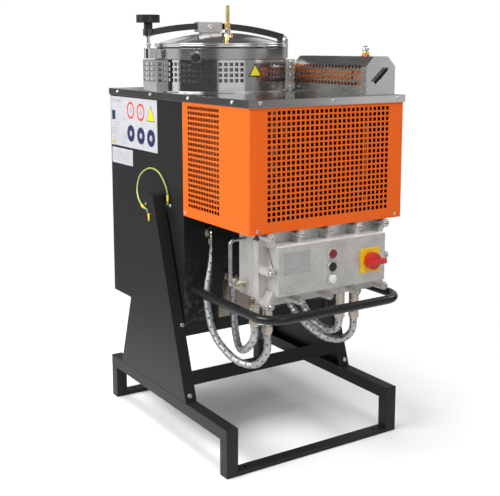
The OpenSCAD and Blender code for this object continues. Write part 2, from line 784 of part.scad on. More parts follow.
module conduit(route) color(conduit_grey)
    sweep(smooth(route), [[0, 0, -1], [0, 0, 1]], conduit_r, 12, [1, 0, 0]);
module conduit_left_outer() conduit(left_outer_route);
module conduit_left_inner() conduit(left_inner_route);
module conduit_right_outer() conduit(right_outer_route);
module conduit_right_inner() conduit(right_inner_route);
module sensor_line() color(conduit_grey)
    sweep(sensor_route, [[-1, 0, 0], [1, 0, 0]], 5, 10, [0, 1, 0]);
module bonding_wire() color([0.75, 0.80, 0.15])
    sweep(bonding_route, [[0, 1, 0], [0, 0, -1]], 2, 8, [1, 0, 0]);

// ---- Handle and labels ----

module handle() color([0.10, 0.10, 0.11]) {
    both_sides() {
        rod_y(handle_front + handle_bend, cab_front, handle_x, handle_z, handle_r);
        rod_y(cab_front - 4, cab_front, handle_x, handle_z, handle_r + 8);
        translate([handle_x - handle_bend, handle_front + handle_bend, handle_z]) rotate([0, 0, -90])
            rotate_extrude(angle = 90) translate([handle_bend, 0]) circle(r = handle_r);
    }
    rod_x(handle_bend - handle_x, handle_x - handle_bend, handle_front, handle_z, handle_r);
}

module labels() {
    label_t = 0.6;
    color([0.93, 0.93, 0.92]) {
        span([-cab_x - label_t, 88, 804], [-cab_x, 404, 956]);
        span([-cab_x - label_t, 253, 748], [-cab_x, 401, 797]);
    }
    color([0.95, 0.78, 0.05]) at_boiler() rotate([0, 0, 268 + arm_turn])
        translate([guard_in + guard_t, 0, top_z + 60]) rotate([0, 90, 0]) rotate([0, 0, 180])
        cylinder(h = label_t, r = 23, $fn = 3);
}

// ---- Lid ----

// Radius and height of the dome's outer face at angle a from its crown
function dome_arc(r, steps) = [for (i = [0 : steps]) let (a = dome_span * i / steps)
    [r * sin(a), lid_low + lid_rim_t + dome_h - dome_ball + r * cos(a)]];
function reversed(p) = [for (i = [len(p) - 1 : -1 : 0]) p[i]];

module lid() color(steel) at_boiler() {
    steps = 16;
    rotate_extrude($fn = 96) polygon(concat(
        dome_arc(dome_ball, steps),
        [[lid_r, lid_low + lid_rim_t], [lid_r, lid_low], [pot_r + 2, lid_low],
            [pot_r + 2, lid_low + lid_rim_t - dome_t]],
        reversed([for (p = dome_arc(dome_ball - dome_t, steps)) if (p.x < pot_r - 4) p])));
    // Pad under the arm's block, and the base of the vent nozzle
    span([-66, -12, lid_low + 36], [-8, 12, lid_low + 45]);
    rod_z(lid_low + 36, lid_low + 54, nozzle.x, nozzle.y, 8);
}

// Arched arm with its block, the eye for the clamp screw and the hinge eye
module lid_arm() color([0.45, 0.45, 0.45]) at_boiler() difference() {
    union() {
        translate([arm_ring_x, 0, arm_ring_z]) rotate([90, 0, 0]) rotate([0, 0, arm_ends[0]])
            rotate_extrude(angle = arm_ends[1] - arm_ends[0], $fn = 360)
            translate([arm_ring_r - arm_h / 2, -arm_w / 2]) square([arm_h, arm_w]);
        rod_y(-13, 13, hinge_x, hinge_z, eye_r);
        span([-78, -16, lid_low + 45], [-2, 16, lid_low + 73]);
        span([bolt_x, -9, fork_low + 2], [bolt_x + 18, 9, fork_high - 1]);
        rod_z(fork_low, fork_high, bolt_x, 0, 15);
    }
    rod_y(-14, 14, hinge_x, hinge_z, pin_r + fit);
    rod_z(fork_low - cut, fork_high + cut, bolt_x, 0, pin_r + fit);
}

module vent_nozzle() color(brass) at_boiler() {
    hex_z(lid_low + 54, lid_low + 71, nozzle.x, nozzle.y, 10);
    rod_z(lid_low + 71, lid_low + 122, nozzle.x, nozzle.y, 5.5);
}

// Screw that hangs in the arm's eye, held by its collar below, with its end in the lug's socket
module clamp_screw() color(steel) at_boiler() {
    rod_z(bolt_z + 2, fork_high + 32, bolt_x, 0, pin_r);
    rod_z(fork_low - gap - 4, fork_low - gap, bolt_x, 0, 9);
    hex_z(bolt_z + 20, bolt_z + 27, bolt_x, 0, 8);
}

module star_knob() color(black_plastic) at_boiler() difference() {
    lobe_r = 7.5;
    union() {
        rod_z(fork_high + gap, fork_high + 18, bolt_x, 0, hub_r);
        rod_z(fork_high + 18, fork_high + 40, bolt_x, 0, knob_r - 4);
        for (turn = [0 : 45 : 315]) translate([bolt_x, 0, 0]) rotate([0, 0, turn])
            rod_z(fork_high + 18, fork_high + 40, knob_r - lobe_r, 0, lobe_r);
    }
    rod_z(fork_high, fork_high + 32, bolt_x, 0, pin_r + fit);
}

rails();
legs();
rail_plugs();
floor_bars();
left_panel();
right_panel();
crossbar();
flange_bolts();
bearing_housings();
bushes();
trunnions();
cabinet_shell();
floor_plates();
front_post();
top_plate();
condenser_housing();
sheet_screws();
boiler_pot();
oil_jacket();
heating_elements();
insulation();
collar();
port_plug();
gasket();
guard_ring();
bolt_lug();
lid_hinge_bracket();
vapour_pipe();
pipe_cover();
pipe_cover_cap();
relief_fitting();
condenser_coil();
fan_shroud();
fan_motor();
fan();
distillate_outlet();
control_box();
control_cover();
control_gear();
rating_plates();
switch_plate();
switch_knob();
button_collars();
red_button();
black_button();
pilot_lamp();
conduit_fittings();
conduit_left_outer();
conduit_left_inner();
conduit_right_outer();
conduit_right_inner();
sensor_line();
bonding_wire();
handle();
labels();
lid();
lid_arm();
vent_nozzle();
clamp_screw();
star_knob();
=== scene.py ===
import json
import math

import bmesh
import bpy
from mathutils import Matrix, Vector


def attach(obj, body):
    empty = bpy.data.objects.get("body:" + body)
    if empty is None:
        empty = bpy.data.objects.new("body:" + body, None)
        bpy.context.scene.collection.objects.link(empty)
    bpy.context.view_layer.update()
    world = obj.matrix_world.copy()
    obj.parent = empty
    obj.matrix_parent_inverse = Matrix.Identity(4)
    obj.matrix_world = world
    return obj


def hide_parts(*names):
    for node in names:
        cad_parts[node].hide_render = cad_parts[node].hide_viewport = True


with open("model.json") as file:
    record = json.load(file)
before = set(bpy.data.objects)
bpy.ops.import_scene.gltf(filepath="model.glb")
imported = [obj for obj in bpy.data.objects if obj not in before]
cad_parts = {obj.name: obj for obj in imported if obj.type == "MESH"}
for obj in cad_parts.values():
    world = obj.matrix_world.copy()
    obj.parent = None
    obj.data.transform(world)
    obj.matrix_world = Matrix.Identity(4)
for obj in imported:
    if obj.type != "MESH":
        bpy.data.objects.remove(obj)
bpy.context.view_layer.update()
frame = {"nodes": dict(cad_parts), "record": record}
NODES = frame["nodes"]
RECORD = frame["record"]
BODY_OF = {n: b for b, ns in RECORD["behaviour"]["bodies"].items() for n in ns}
SLOT_OF = {p["node"]: p["material_slot"] for p in RECORD["subparts"]}

# ---- camera

CAMERA_AT = (-1.4389, -2.2441, 1.1082)
LOOKS_DOWN, LOOKS_RIGHT = 8.833, 32.975  # degrees below level, and from +Y towards +X
camera = bpy.data.objects.new("camera", bpy.data.cameras.new("camera"))
bpy.context.scene.collection.objects.link(camera)
bpy.context.scene.camera = camera
camera.location = CAMERA_AT
camera.rotation_euler = (math.radians(90 - LOOKS_DOWN), 0, math.radians(-LOOKS_RIGHT))
camera.data.sensor_width = 36
camera.data.lens = 65.55
camera.data.shift_x = -0.0032
camera.data.shift_y = -0.12
camera.data.clip_end = 100

# ---- materials


class Nodes:
    """A cleared node tree and short ways to wire it."""

    def __init__(self, owner):
        owner.use_nodes = True
        self.tree = owner.node_tree
        self.tree.nodes.clear()

    def link(self, a, b):
        self.tree.links.new(a, b)

    def node(self, kind, feeds=None, **settings):
        """A new node. feeds gives its sockets, by name or number, an output or a constant each."""
        n = self.tree.nodes.new(kind)
        for key, value in settings.items():
            setattr(n, key, value)
        for key, value in (feeds or {}).items():
            if hasattr(value, "is_output"):
                self.link(value, n.inputs[key])
            else:
                n.inputs[key].default_value = value
        return n

    def math(self, how, a, b):
        return self.node("ShaderNodeMath", {0: a, 1: b}, operation=how).outputs[0]

    def vector(self, how, a, b=(0, 0, 0), output=0):
        return self.node("ShaderNodeVectorMath", {0: a, 1: b}, operation=how).outputs[output]


class Shader(Nodes):
    """A Principled material with procedural patterns."""

    def __init__(self, name, metallic=0.0, **constants):
        self.mat = bpy.data.materials.new(name)
        super().__init__(self.mat)
        constants = {key.replace("_", " "): value for key, value in constants.items()}
        self.bsdf = self.node("ShaderNodeBsdfPrincipled", {"Metallic": metallic, **constants})
        self.out = self.node("ShaderNodeOutputMaterial", {"Surface": self.bsdf.outputs[0]})
        self.coord = self.node("ShaderNodeTexCoord").outputs["Object"]
        self.normal = None

    def noise(self, scale, detail=3.0, stretch=(1, 1, 1), rough=0.55):
        place = self.node("ShaderNodeMapping", {"Scale": stretch, "Vector": self.coord}).outputs[0]
        return self.node("ShaderNodeTexNoise", {"Scale": scale, "Detail": detail, "Roughness": rough,
                                                "Vector": place}).outputs["Fac"]

    def rings(self, centre, scale):
        """Fine turning marks around a vertical axis."""
        offset = self.vector("SUBTRACT", self.coord, (*centre, 0))
        radius = self.vector("LENGTH", self.vector("MULTIPLY", offset, (1, 1, 0)), output="Value")
        return self.node("ShaderNodeTexNoise", {"Scale": scale, "Detail": 4, "W": radius},
                         noise_dimensions="1D").outputs["Fac"]

    def span(self, value, low, high, start=0.3, stop=0.7):
        """The value's part between start and stop, spread from low to high."""
        return self.node("ShaderNodeMapRange", {"Value": value, "From Min": start, "From Max": stop,
                                                "To Min": low, "To Max": high}).outputs[0]

    def blend(self, factor, a, b):
        """A colour between a and b."""
        a, b = ((*c, 1) if isinstance(c, tuple) else c for c in (a, b))
        return self.node("ShaderNodeMix", {0: factor, 6: a, 7: b}, data_type="RGBA").outputs[2]

    def mottled(self, pattern, color, dark, light):
        """The colour between two of its shades, by a pattern."""
        return self.blend(self.span(pattern, 0, 1), scaled(color, dark), scaled(color, light))

    def paint(self, color):
        self.link(color, self.bsdf.inputs["Base Color"])

    def worn_paint(self, color, bare, amount, start=0.58, stop=0.70):
        """The colour, with the edges rubbed towards bare."""
        edges = self.span(self.node("ShaderNodeNewGeometry").outputs["Pointiness"], 0, 1, start, stop)
        wear = self.math("MULTIPLY", edges, self.span(self.noise(70), 0, 0.7, 0.45, 0.65))
        self.paint(self.blend(self.math("MULTIPLY", wear, amount), color, bare))

    def gloss(self, value):
        self.link(value, self.bsdf.inputs["Roughness"])

    def bump(self, height, strength, distance):
        feeds = {"Strength": strength, "Distance": distance, "Height": height}
        if self.normal:
            feeds["Normal"] = self.normal
        self.normal = self.node("ShaderNodeBump", feeds).outputs[0]
        self.link(self.normal, self.bsdf.inputs["Normal"])


def scaled(color, k):
    return tuple(min(1.0, c * k) for c in color)


def powder_coat(name, color, rough, bare=(0.35, 0.35, 0.36), peel=0.16, worn=0.5, shine=0.34):
    s = Shader(name, Specular_IOR_Level=shine)
    soft = s.mottled(s.noise(2.5, 2), color, 0.97, 1.03)
    flecked = s.blend(s.span(s.noise(900, 1), 0, 1, 0.35, 0.65), soft, scaled(color, 1.08))
    specks = s.math("MULTIPLY", s.span(s.noise(420, 2), 0, 1, 0.62, 0.7), 0.25)
    speckle = s.blend(specks, flecked, scaled(color, 0.8))
    s.worn_paint(speckle, bare, worn)
    patches = s.span(s.noise(3, 3), rough - 0.02, rough + 0.03)
    s.gloss(s.math("ADD", patches, s.span(s.noise(600, 1), -0.02, 0.02)))
    s.bump(s.noise(520, 2), peel, 0.0003)
    return s.mat


def steel(name, color, rough, lines, strength=0.25, smudge=0.08, centre=None):
    """Brushed metal: lines is the stretch of the grain, or centre turns it into rings."""
    s = Shader(name, metallic=1.0)
    grain = s.rings(centre, 1500) if centre else s.noise(1, 5, lines, 0.65)
    s.paint(s.mottled(grain, color, 0.88, 1.08))
    dull = s.span(s.noise(5, 3), -smudge / 2, smudge / 2, 0.35, 0.68)
    s.gloss(s.math("MAXIMUM", s.math("ADD", s.span(grain, rough - 0.05, rough + 0.07), dull), 0.05))
    s.bump(grain, strength, 0.00008)
    return s.mat


def cast_metal(name, color):
    s = Shader(name, metallic=0.72)
    blotch = s.mottled(s.noise(14, 5), color, 0.78, 1.06)
    pits = s.span(s.noise(900, 2), 0, 1, 0.6, 0.72)
    grimed = s.blend(s.math("MULTIPLY", pits, 0.2), blotch, scaled(color, 0.6))
    s.worn_paint(grimed, scaled(color, 1.2), 0.4, 0.56, 0.68)
    s.gloss(s.math("ADD", s.span(s.noise(12, 3), 0.34, 0.44), s.span(s.noise(800, 1), -0.03, 0.03)))
    s.bump(s.noise(850, 2), 0.2, 0.0003)
    s.bump(s.noise(40, 2), 0.05, 0.0006)
    return s.mat


def metal(name, color, rough, spread=0.12):
    s = Shader(name, metallic=1.0)
    tone = s.mottled(s.noise(45, 5), color, 1 - spread, 1 + spread / 2)
    s.worn_paint(tone, scaled(color, 1.2), 0.5, 0.54, 0.66)
    s.gloss(s.span(s.noise(80, 4), rough - 0.05, rough + 0.1))
    s.bump(s.noise(350, 3), 0.12, 0.0003)
    return s.mat


def plastic(name, color, rough, spread=0.1, strength=0.1, **constants):
    s = Shader(name, **constants)
    tone = s.mottled(s.noise(35, 4), color, 1 - spread, 1 + spread)
    s.worn_paint(tone, scaled(color, 1.6), 0.3, 0.55, 0.66)
    s.gloss(s.span(s.noise(50, 5), rough - 0.04, rough + 0.08))
    s.bump(s.noise(900, 2), strength, 0.0003)
    return s.mat


BRAID_GAPS = 3  # dark diamonds around the hose
BRAID_STEP = 0.026  # between them along it, in metres
HOSE_ROUND = 0.066  # about the way round a conduit, in metres
STRAND_ANGLE = 0.92  # radians


def braided(name, color):
    """Wire braid: strands cross on the tube's own UV, with painted shade where they dive under each other and a
    painted highlight on their crowns.
    """
    s = Shader(name, metallic=0.95)
    uv = s.node("ShaderNodeUVMap", uv_map="run").outputs[0]
    heights = []
    for turn in (STRAND_ANGLE, -STRAND_ANGLE):
        slant = s.node("ShaderNodeMapping", {"Rotation": (0, 0, turn), "Vector": uv}).outputs[0]
        heights.append(s.node("ShaderNodeTexWave", {"Scale": 190, "Vector": slant},
                              bands_direction="X").outputs["Fac"])
    weave = s.math("MAXIMUM", *heights)
    # painted shade in the weave's low parts and a painted highlight on its high parts
    tone = s.blend(s.span(weave, 0, 1, 0.1, 0.9), scaled(color, 0.45), scaled(color, 1.15))
    parts = s.node("ShaderNodeSeparateXYZ", {0: uv})
    across = s.math("MULTIPLY", parts.outputs[0], 2 * math.pi * BRAID_GAPS / HOSE_ROUND)
    along = s.math("MULTIPLY", parts.outputs[1], 2 * math.pi / BRAID_STEP)
    around, onward = s.math("COSINE", across, 0), s.math("COSINE", along, 0)
    gaps = s.span(s.math("MULTIPLY", around, onward), 0, 0.9, 0.62, 0.8)
    open_weave = s.blend(gaps, tone, (0.02, 0.02, 0.022))
    s.paint(s.blend(s.span(s.noise(60, 4), 0, 0.3), open_weave, scaled(color, 0.62)))
    s.gloss(s.span(weave, 0.5, 0.3))
    s.bump(weave, 0.6, 0.0004)
    return s.mat


WIRE_STRIPES = 160  # a metre of the way round the wire


def wire_cover(name, color, stripe):
    """A wire's skin in two colours, split along its own UV."""
    s = Shader(name)
    uv = s.node("ShaderNodeUVMap", uv_map="run").outputs[0]
    parts = s.node("ShaderNodeSeparateXYZ", {0: uv})
    around = s.math("FRACT", s.math("MULTIPLY", parts.outputs[0], WIRE_STRIPES), 0)
    edge = s.span(around, 0, 1, 0.48, 0.52)
    s.paint(s.blend(s.span(s.noise(120, 3), 0, 0.25), s.blend(edge, color, stripe), scaled(color, 0.7)))
    s.gloss(s.span(s.noise(90, 3), 0.3, 0.42))
    s.bump(s.noise(900, 1), 0.1, 0.0002)
    return s.mat


def wool(name, color):
    s = Shader(name, Sheen_Weight=0.3)
    s.paint(s.mottled(s.noise(120, 6), color, 0.7, 1.1))
    s.gloss(s.span(s.noise(90, 3), 0.85, 0.98))
    s.bump(s.noise(300, 6), 0.8, 0.003)
    return s.mat


BOILER = (-0.020, 0.112)  # the boiler's axis, in metres
BOILER_X, BOILER_Y = -20.0, 112.0  # and in millimetres
M = {
    "charcoal": powder_coat("charcoal_coat", (0.0135, 0.0135, 0.0145), 0.42, shine=0.2),
    # Near-black coat: the fan shroud's coat, and painted shade on the housing's inner face and hole walls, the
    # vapour pipe inside the guard and the lip of the cap's slot
    "inner": powder_coat("black_coat_and_painted_shade", (0.010, 0.010, 0.011), 0.6, worn=0.2, shine=0.12),
    "black": powder_coat("handle_coat", (0.012, 0.012, 0.013), 0.27, peel=0.08),
    "orange": powder_coat("orange_coat", (0.88, 0.130, 0.004), 0.45, bare=(0.85, 0.3, 0.08), worn=0.3),
    "pipe_orange": powder_coat("pipe_coat", (1.0, 0.21, 0.008), 0.5, bare=(0.85, 0.3, 0.08), worn=0.2),
    "top": steel("top_steel", (0.55, 0.545, 0.535), 0.10, (8, 650, 650), 0.15),
    "dull": steel("dull_steel", (0.26, 0.255, 0.25), 0.38, (14, 14, 700), 0.3),
    "block": steel("block_steel", (0.64, 0.63, 0.62), 0.34, (14, 700, 700), 0.3),
    "lid": steel("lid_steel", (0.80, 0.79, 0.78), 0.12, None, 0.2, 0.05, BOILER),
    "band": steel("band_steel", (0.48, 0.475, 0.47), 0.24, (14, 14, 1300), 0.3),
    "guard": steel("guard_steel", (0.74, 0.735, 0.725), 0.06, (10, 10, 900), 0.06, 0.03),
    "arm": steel("arm_steel", (0.12, 0.12, 0.12), 0.2, (12, 700, 700), 0.2),
    "cover": steel("cover_steel", (0.44, 0.435, 0.42), 0.24, (700, 12, 700), 0.3),
    "tube": steel("tube_steel", (0.62, 0.62, 0.61), 0.22, (700, 700, 12), 0.2),
    "zinc": metal("zinc_plate", (0.68, 0.68, 0.67), 0.24),
    "chrome": metal("chrome_plate", (0.78, 0.78, 0.78), 0.12, spread=0.05),
    "cast": cast_metal("cast_aluminium", (0.70, 0.685, 0.66)),
    # A lighter copy of the cast metal for upward faces: painted light from above
    "cast_painted_light": plastic("cast_painted_top_light", (0.95, 0.94, 0.93), 0.4, spread=0.03, Metallic=0.15),
    "plate": metal("plate_aluminium", (0.66, 0.65, 0.63), 0.34),
    # Darkened, brownish steel for the front access plate: painted shade and a painted reflection tint on plain
    # steel
    "steel_painted_shade_and_reflection": steel("access_steel_painted_shade_and_reflection", (0.30, 0.25, 0.205), 0.34, (8, 600, 600), 0.2),
    "copper": metal("copper_metal", (0.66, 0.36, 0.22), 0.3),
    "brass": metal("brass_metal", (0.96, 0.68, 0.24), 0.24),
    "nickel": metal("fitting_nickel", (0.62, 0.57, 0.48), 0.26),
    "braid": braided("wire_braid", (0.56, 0.56, 0.57)),
    "grey_tube": metal("grey_tube", (0.50, 0.50, 0.51), 0.3),
    "motor": powder_coat("motor_coat", (0.05, 0.055, 0.06), 0.45),
    "wool": wool("mineral_wool", (0.75, 0.70, 0.45)),
    "black_plastic": plastic("black_plastic", (0.012, 0.012, 0.013), 0.33, strength=0.2),
    "rubber": plastic("seal_rubber", (0.016, 0.016, 0.016), 0.6, strength=0.3),
    "yellow": plastic("yellow_plastic", (0.92, 0.58, 0.01), 0.26),
    "sleeve": plastic("sleeve_plastic", (0.90, 0.62, 0.02), 0.35),
    "red": plastic("red_plastic", (0.62, 0.012, 0.010), 0.22, Coat_Weight=0.4),
    "dark_red": plastic("button_red", (0.19, 0.004, 0.006), 0.16, Coat_Weight=0.6),
    "lamp": plastic("lamp_plastic", (0.82, 0.82, 0.80), 0.2, spread=0.04, Subsurface_Weight=0.15,
                    Coat_Weight=0.5),
    "gear": plastic("gear_plastic", (0.45, 0.46, 0.42), 0.45),
    "wire": wire_cover("wire_cover", (0.30, 0.42, 0.10), (0.80, 0.80, 0.30)),
}
for tint, film_color, film_rough, film_spread in (
        ("film", (0.53, 0.54, 0.57), 0.3, 0.03), ("grey", (0.42, 0.43, 0.46), 0.35, 0.06),
        ("red", (0.75, 0.03, 0.02), 0.3, 0.05), ("navy", (0.018, 0.022, 0.09), 0.3, 0.08),
        ("yellow", (0.85, 0.72, 0.02), 0.3, 0.05), ("black", (0.02, 0.02, 0.02), 0.35, 0.1)):
    M["label_" + tint] = plastic("label_" + tint, film_color, film_rough, film_spread, strength=0.04)

# ---- mesh helpers

MM = 0.001
EDGE_ANGLE = math.radians(32)  # edges sharper than this are rounded
TILTING = "tilting_body"  # the body that most pieces ride on


def finish_piece(obj, body, slot, nodes):
    """Puts the object in the scene, on its body, in place of the CAD nodes it stands for."""
    bpy.context.scene.collection.objects.link(obj)
    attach(obj, body)
    if nodes:
        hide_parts(*nodes)
    return obj


def soften(obj, width, segments=2):
    """Rounds the sharp edges, and shades the piece smooth."""
    obj.data.shade_smooth()
    if width:
        b = obj.modifiers.new("edges", "BEVEL")
        b.width = width
        b.segments = segments
        b.limit_method = "ANGLE"
        b.angle_limit = EDGE_ANGLE
        b.miter_outer = "MITER_ARC"
    w = obj.modifiers.new("normals", "WEIGHTED_NORMAL")
    w.weight = 60


def carry(node, material, width=0.6, segments=2):
    """The CAD node's own shape with rounded edges, width in millimetres."""
    mesh = NODES[node].data.copy()
    mesh.name = node + "_shape"
    bm = bmesh.new()
    bm.from_mesh(mesh)
    bmesh.ops.remove_doubles(bm, verts=bm.verts, dist=1e-6)
    bmesh.ops.dissolve_limit(bm, angle_limit=math.radians(0.5), verts=bm.verts, edges=bm.edges)
    bm.to_mesh(mesh)
    bm.free()
    for a in [a for a in mesh.attributes if a.name.startswith(("custom_normal", "sharp"))]:
        mesh.attributes.remove(a)
    mesh.materials.clear()
    mesh.materials.append(M[material])
    obj = bpy.data.objects.new(node + "_finish", mesh)
    soften(obj, width * MM, segments)
    return finish_piece(obj, BODY_OF[node], SLOT_OF[node], [node])


def closed_mesh(name, verts, faces, matrix=None):
    """A mesh from points in millimetres, with its faces turned outwards."""
    mesh = bpy.data.meshes.new(name)
    mesh.from_pydata([Vector(v) * MM for v in verts], [], faces)
    if matrix:
        mesh.transform(matrix)
    bm = bmesh.new()
    bm.from_mesh(mesh)
    bmesh.ops.recalc_face_normals(bm, faces=bm.faces)
    bm.to_mesh(mesh)
    bm.free()
    return mesh


def piece(name, verts, faces, material, slot, nodes=(), body=TILTING, width=0.0, matrix=None):
    """A new piece from points in millimetres."""
    mesh = closed_mesh(name, verts, faces, matrix)
    mesh.materials.append(M[material])
    obj = bpy.data.objects.new(name, mesh)
    soften(obj, width * MM)
    return finish_piece(obj, body, slot, nodes)


BOILER_TURN = math.radians(-8)  # the lid's hinge and clamp are turned by this about the boiler's axis
# From the boiler's own frame, with its hinge along +X, to the scene's
AT_BOILER = Matrix.Translation((BOILER[0], BOILER[1], 0)) @ Matrix.Rotation(BOILER_TURN, 4, "Z")


def circle(r, sides, x=0.0, y=0.0, turn=0.0):
    return [(x + r * math.cos(turn + 2 * math.pi * k / sides), y + r * math.sin(turn + 2 * math.pi * k / sides))
            for k in range(sides)]


def wall_faces(rows, sides):
    """The quads between closed rows of points."""
    return [[i * sides + k, i * sides + (k + 1) % sides, (i + 1) * sides + (k + 1) % sides, (i + 1) * sides + k]
            for i in range(rows - 1) for k in range(sides)]


class Solid:
    """Collects closed bodies, in millimetres, into one mesh."""

    def __init__(self):
        self.verts, self.faces = [], []

    def piece(self, name, material, slot, nodes=(), **settings):
        return piece(name, self.verts, self.faces, material, slot, nodes, **settings)

    def add(self, verts, faces, place=None):
        first = len(self.verts)
        self.verts += [place @ Vector(v) if place else Vector(v) for v in verts]
        self.faces += [[first + i for i in f] for f in faces]
        return self

    def lathe(self, profile, sides, place=None):
        """profile is (radius, height) pairs from one end on the axis to the other."""
        verts, faces, rows = [], [], []
        for r, h in profile:
            if r < 1e-6:
                rows.append([len(verts)])
                verts.append((0, 0, h))
            else:
                rows.append(list(range(len(verts), len(verts) + sides)))
                verts += [(x, y, h) for x, y in circle(r, sides)]
        for a, b in zip(rows, rows[1:]):
            for k in range(sides):
                j = (k + 1) % sides
                face = list(dict.fromkeys([a[k % len(a)], a[j % len(a)], b[j % len(b)], b[k % len(b)]]))
                if len(face) > 2:
                    faces.append(face)
        faces += [row for row in (rows[0], rows[-1]) if len(row) > 1]
        return self.add(verts, faces, place)

    def prism(self, outline, low, high, place=None):
        n = len(outline)
        verts = [(x, y, z) for z in (low, high) for x, y in outline]
        faces = [list(range(n)), list(range(n, 2 * n))]
        faces += [[i, (i + 1) % n, n + (i + 1) % n, n + i] for i in range(n)]
        return self.add(verts, faces, place)

    def ring(self, inner, outer, low, high, sides=48, place=None):
        section = ((inner, low), (outer, low), (outer, high), (inner, high))
        verts = [(x, y, z) for r, z in section for x, y in circle(r, sides)]
        faces = [[i % len(verts) for i in f] for f in wall_faces(len(section) + 1, sides)]
        return self.add(verts, faces, place)


def box(x0, x1, y0, y1):
    return [(x0, y0), (x1, y0), (x1, y1), (x0, y1)]


FRONT, LEFT_WAY = (0, -1, 0), (-1, 0, 0)


def facing(x, y, z, direction):
    """A frame at a point in millimetres, with its own +Z along direction and its +Y as near up as can be."""
    d = Vector(direction).normalized()
    up = Vector((0, 0, 1)) if abs(d.z) < 0.9 else Vector((0, 1, 0))
    side = up.cross(d).normalized()
    over = d.cross(side)
    m = Matrix((side, over, d)).transposed().to_4x4()
    m.translation = Vector((x, y, z))
    return m


def perforated(name, us, vs, holes, place, material, slot, nodes=(), closed=False, matrix=None, shade_lining=None):
    """A sheet with real holes. place(u, v, inset) gives a point on the outer face, or inset below it.

    Its last argument, where given, is a material for the inner face and the hole walls that paints their shade,
    where it differs.
    """
    nu, nv = len(us) - 1, len(vs) - 1
    kept = {(i, j) for i in range(nu) for j in range(nv) if (i, j) not in holes}
    index, verts, faces = {}, [], []

    def corner(i, j, side):
        if closed:
            i %= nu
        key = (i, j, side)
        if key not in index:
            index[key] = len(verts)
            verts.append(place(us[i], vs[j], side))
        return index[key]

    def there(i, j):
        return ((i % nu if closed else i), j) in kept

    for i, j in sorted(kept):
        ring = [(i, j), (i + 1, j), (i + 1, j + 1), (i, j + 1)]
        faces.append([corner(*p, 0) for p in ring])
        faces.append([corner(*p, 1) for p in reversed(ring)])
        for (a, b), (di, dj) in zip(zip(ring, ring[1:] + ring[:1]), ((0, -1), (1, 0), (0, 1), (-1, 0))):
            if not there(i + di, j + dj):
                faces.append([corner(*b, 0), corner(*a, 0), corner(*a, 1), corner(*b, 1)])
    mesh = closed_mesh(name, verts, faces, matrix)
    mesh.materials.append(M[material])
    # the inner face and the hole walls take the painted shade material
    if shade_lining:
        inner_points = {n for key, n in index.items() if key[2] == 1}
        mesh.materials.append(M[shade_lining])
        for polygon, f in zip(mesh.polygons, faces):
            polygon.material_index = int(any(v in inner_points for v in f))
    obj = bpy.data.objects.new(name, mesh)
    mesh.shade_smooth()
    mesh.set_sharp_from_angle(angle=math.radians(35))
    return finish_piece(obj, TILTING, slot, nodes)


def grid(groups, lines=()):
    """Sorted lines for a sheet, and the numbers of its hole cells.

    Each group is (first hole's start, last hole's end, count, hole's width).
    """
    spans = []
    for start, stop, count, hole in groups:
        pitch = (stop - start - hole) / (count - 1)
        spans += [(start + k * pitch, start + k * pitch + hole) for k in range(count)]
    free = [x for x in lines if not any(a - 0.4 < x < b + 0.4 for a, b in spans)]
    values = sorted(set(free) | {x for s in spans for x in s})
    starts = {a for a, _ in spans}
    return values, {i for i, v in enumerate(values[:-1]) if v in starts}


# ---- cords


FINE = 24  # points on each leg of a route, before they are spaced evenly


def curve_points(route, steps):
    """Catmull-Rom points through the route, in metres."""
    p = [Vector(v) * MM for v in route]
    out = []
    for i in range(len(p) - 1):
        a, b, c, d = p[max(i - 1, 0)], p[i], p[i + 1], p[min(i + 2, len(p) - 1)]
        for k in range(steps):
            t = k / steps
            out.append(0.5 * (2 * b + (c - a) * t + (2 * a - 5 * b + 4 * c - d) * t * t
                              + (3 * b - a - 3 * c + d) * t ** 3))
    return out + [p[-1]]


def evenly(points, step):
    out, carry_on = [points[0]], 0.0
    for a, b in zip(points, points[1:]):
        gap = (b - a).length
        while carry_on + gap >= step:
            t = (step - carry_on) / gap
            a = a.lerp(b, t)
            gap = (b - a).length
            carry_on = 0.0
            out.append(a)
        carry_on += gap
    if (out[-1] - points[-1]).length > step * 0.3:
        out.append(points[-1])
    else:
        out[-1] = points[-1]
    return out


def run_length(points):
    return sum((b - a).length for a, b in zip(points, points[1:]))


def sections(points):
    """Each point of a run, with two directions square to the run there."""
    last = len(points) - 1
    side = (points[1] - points[0]).normalized().orthogonal().normalized()
    for i, p in enumerate(points):
        t = (points[min(i + 1, last)] - points[max(i - 1, 0)]).normalized()
        side = (side - t * side.dot(t)).normalized()
        yield p, side, t.cross(side)


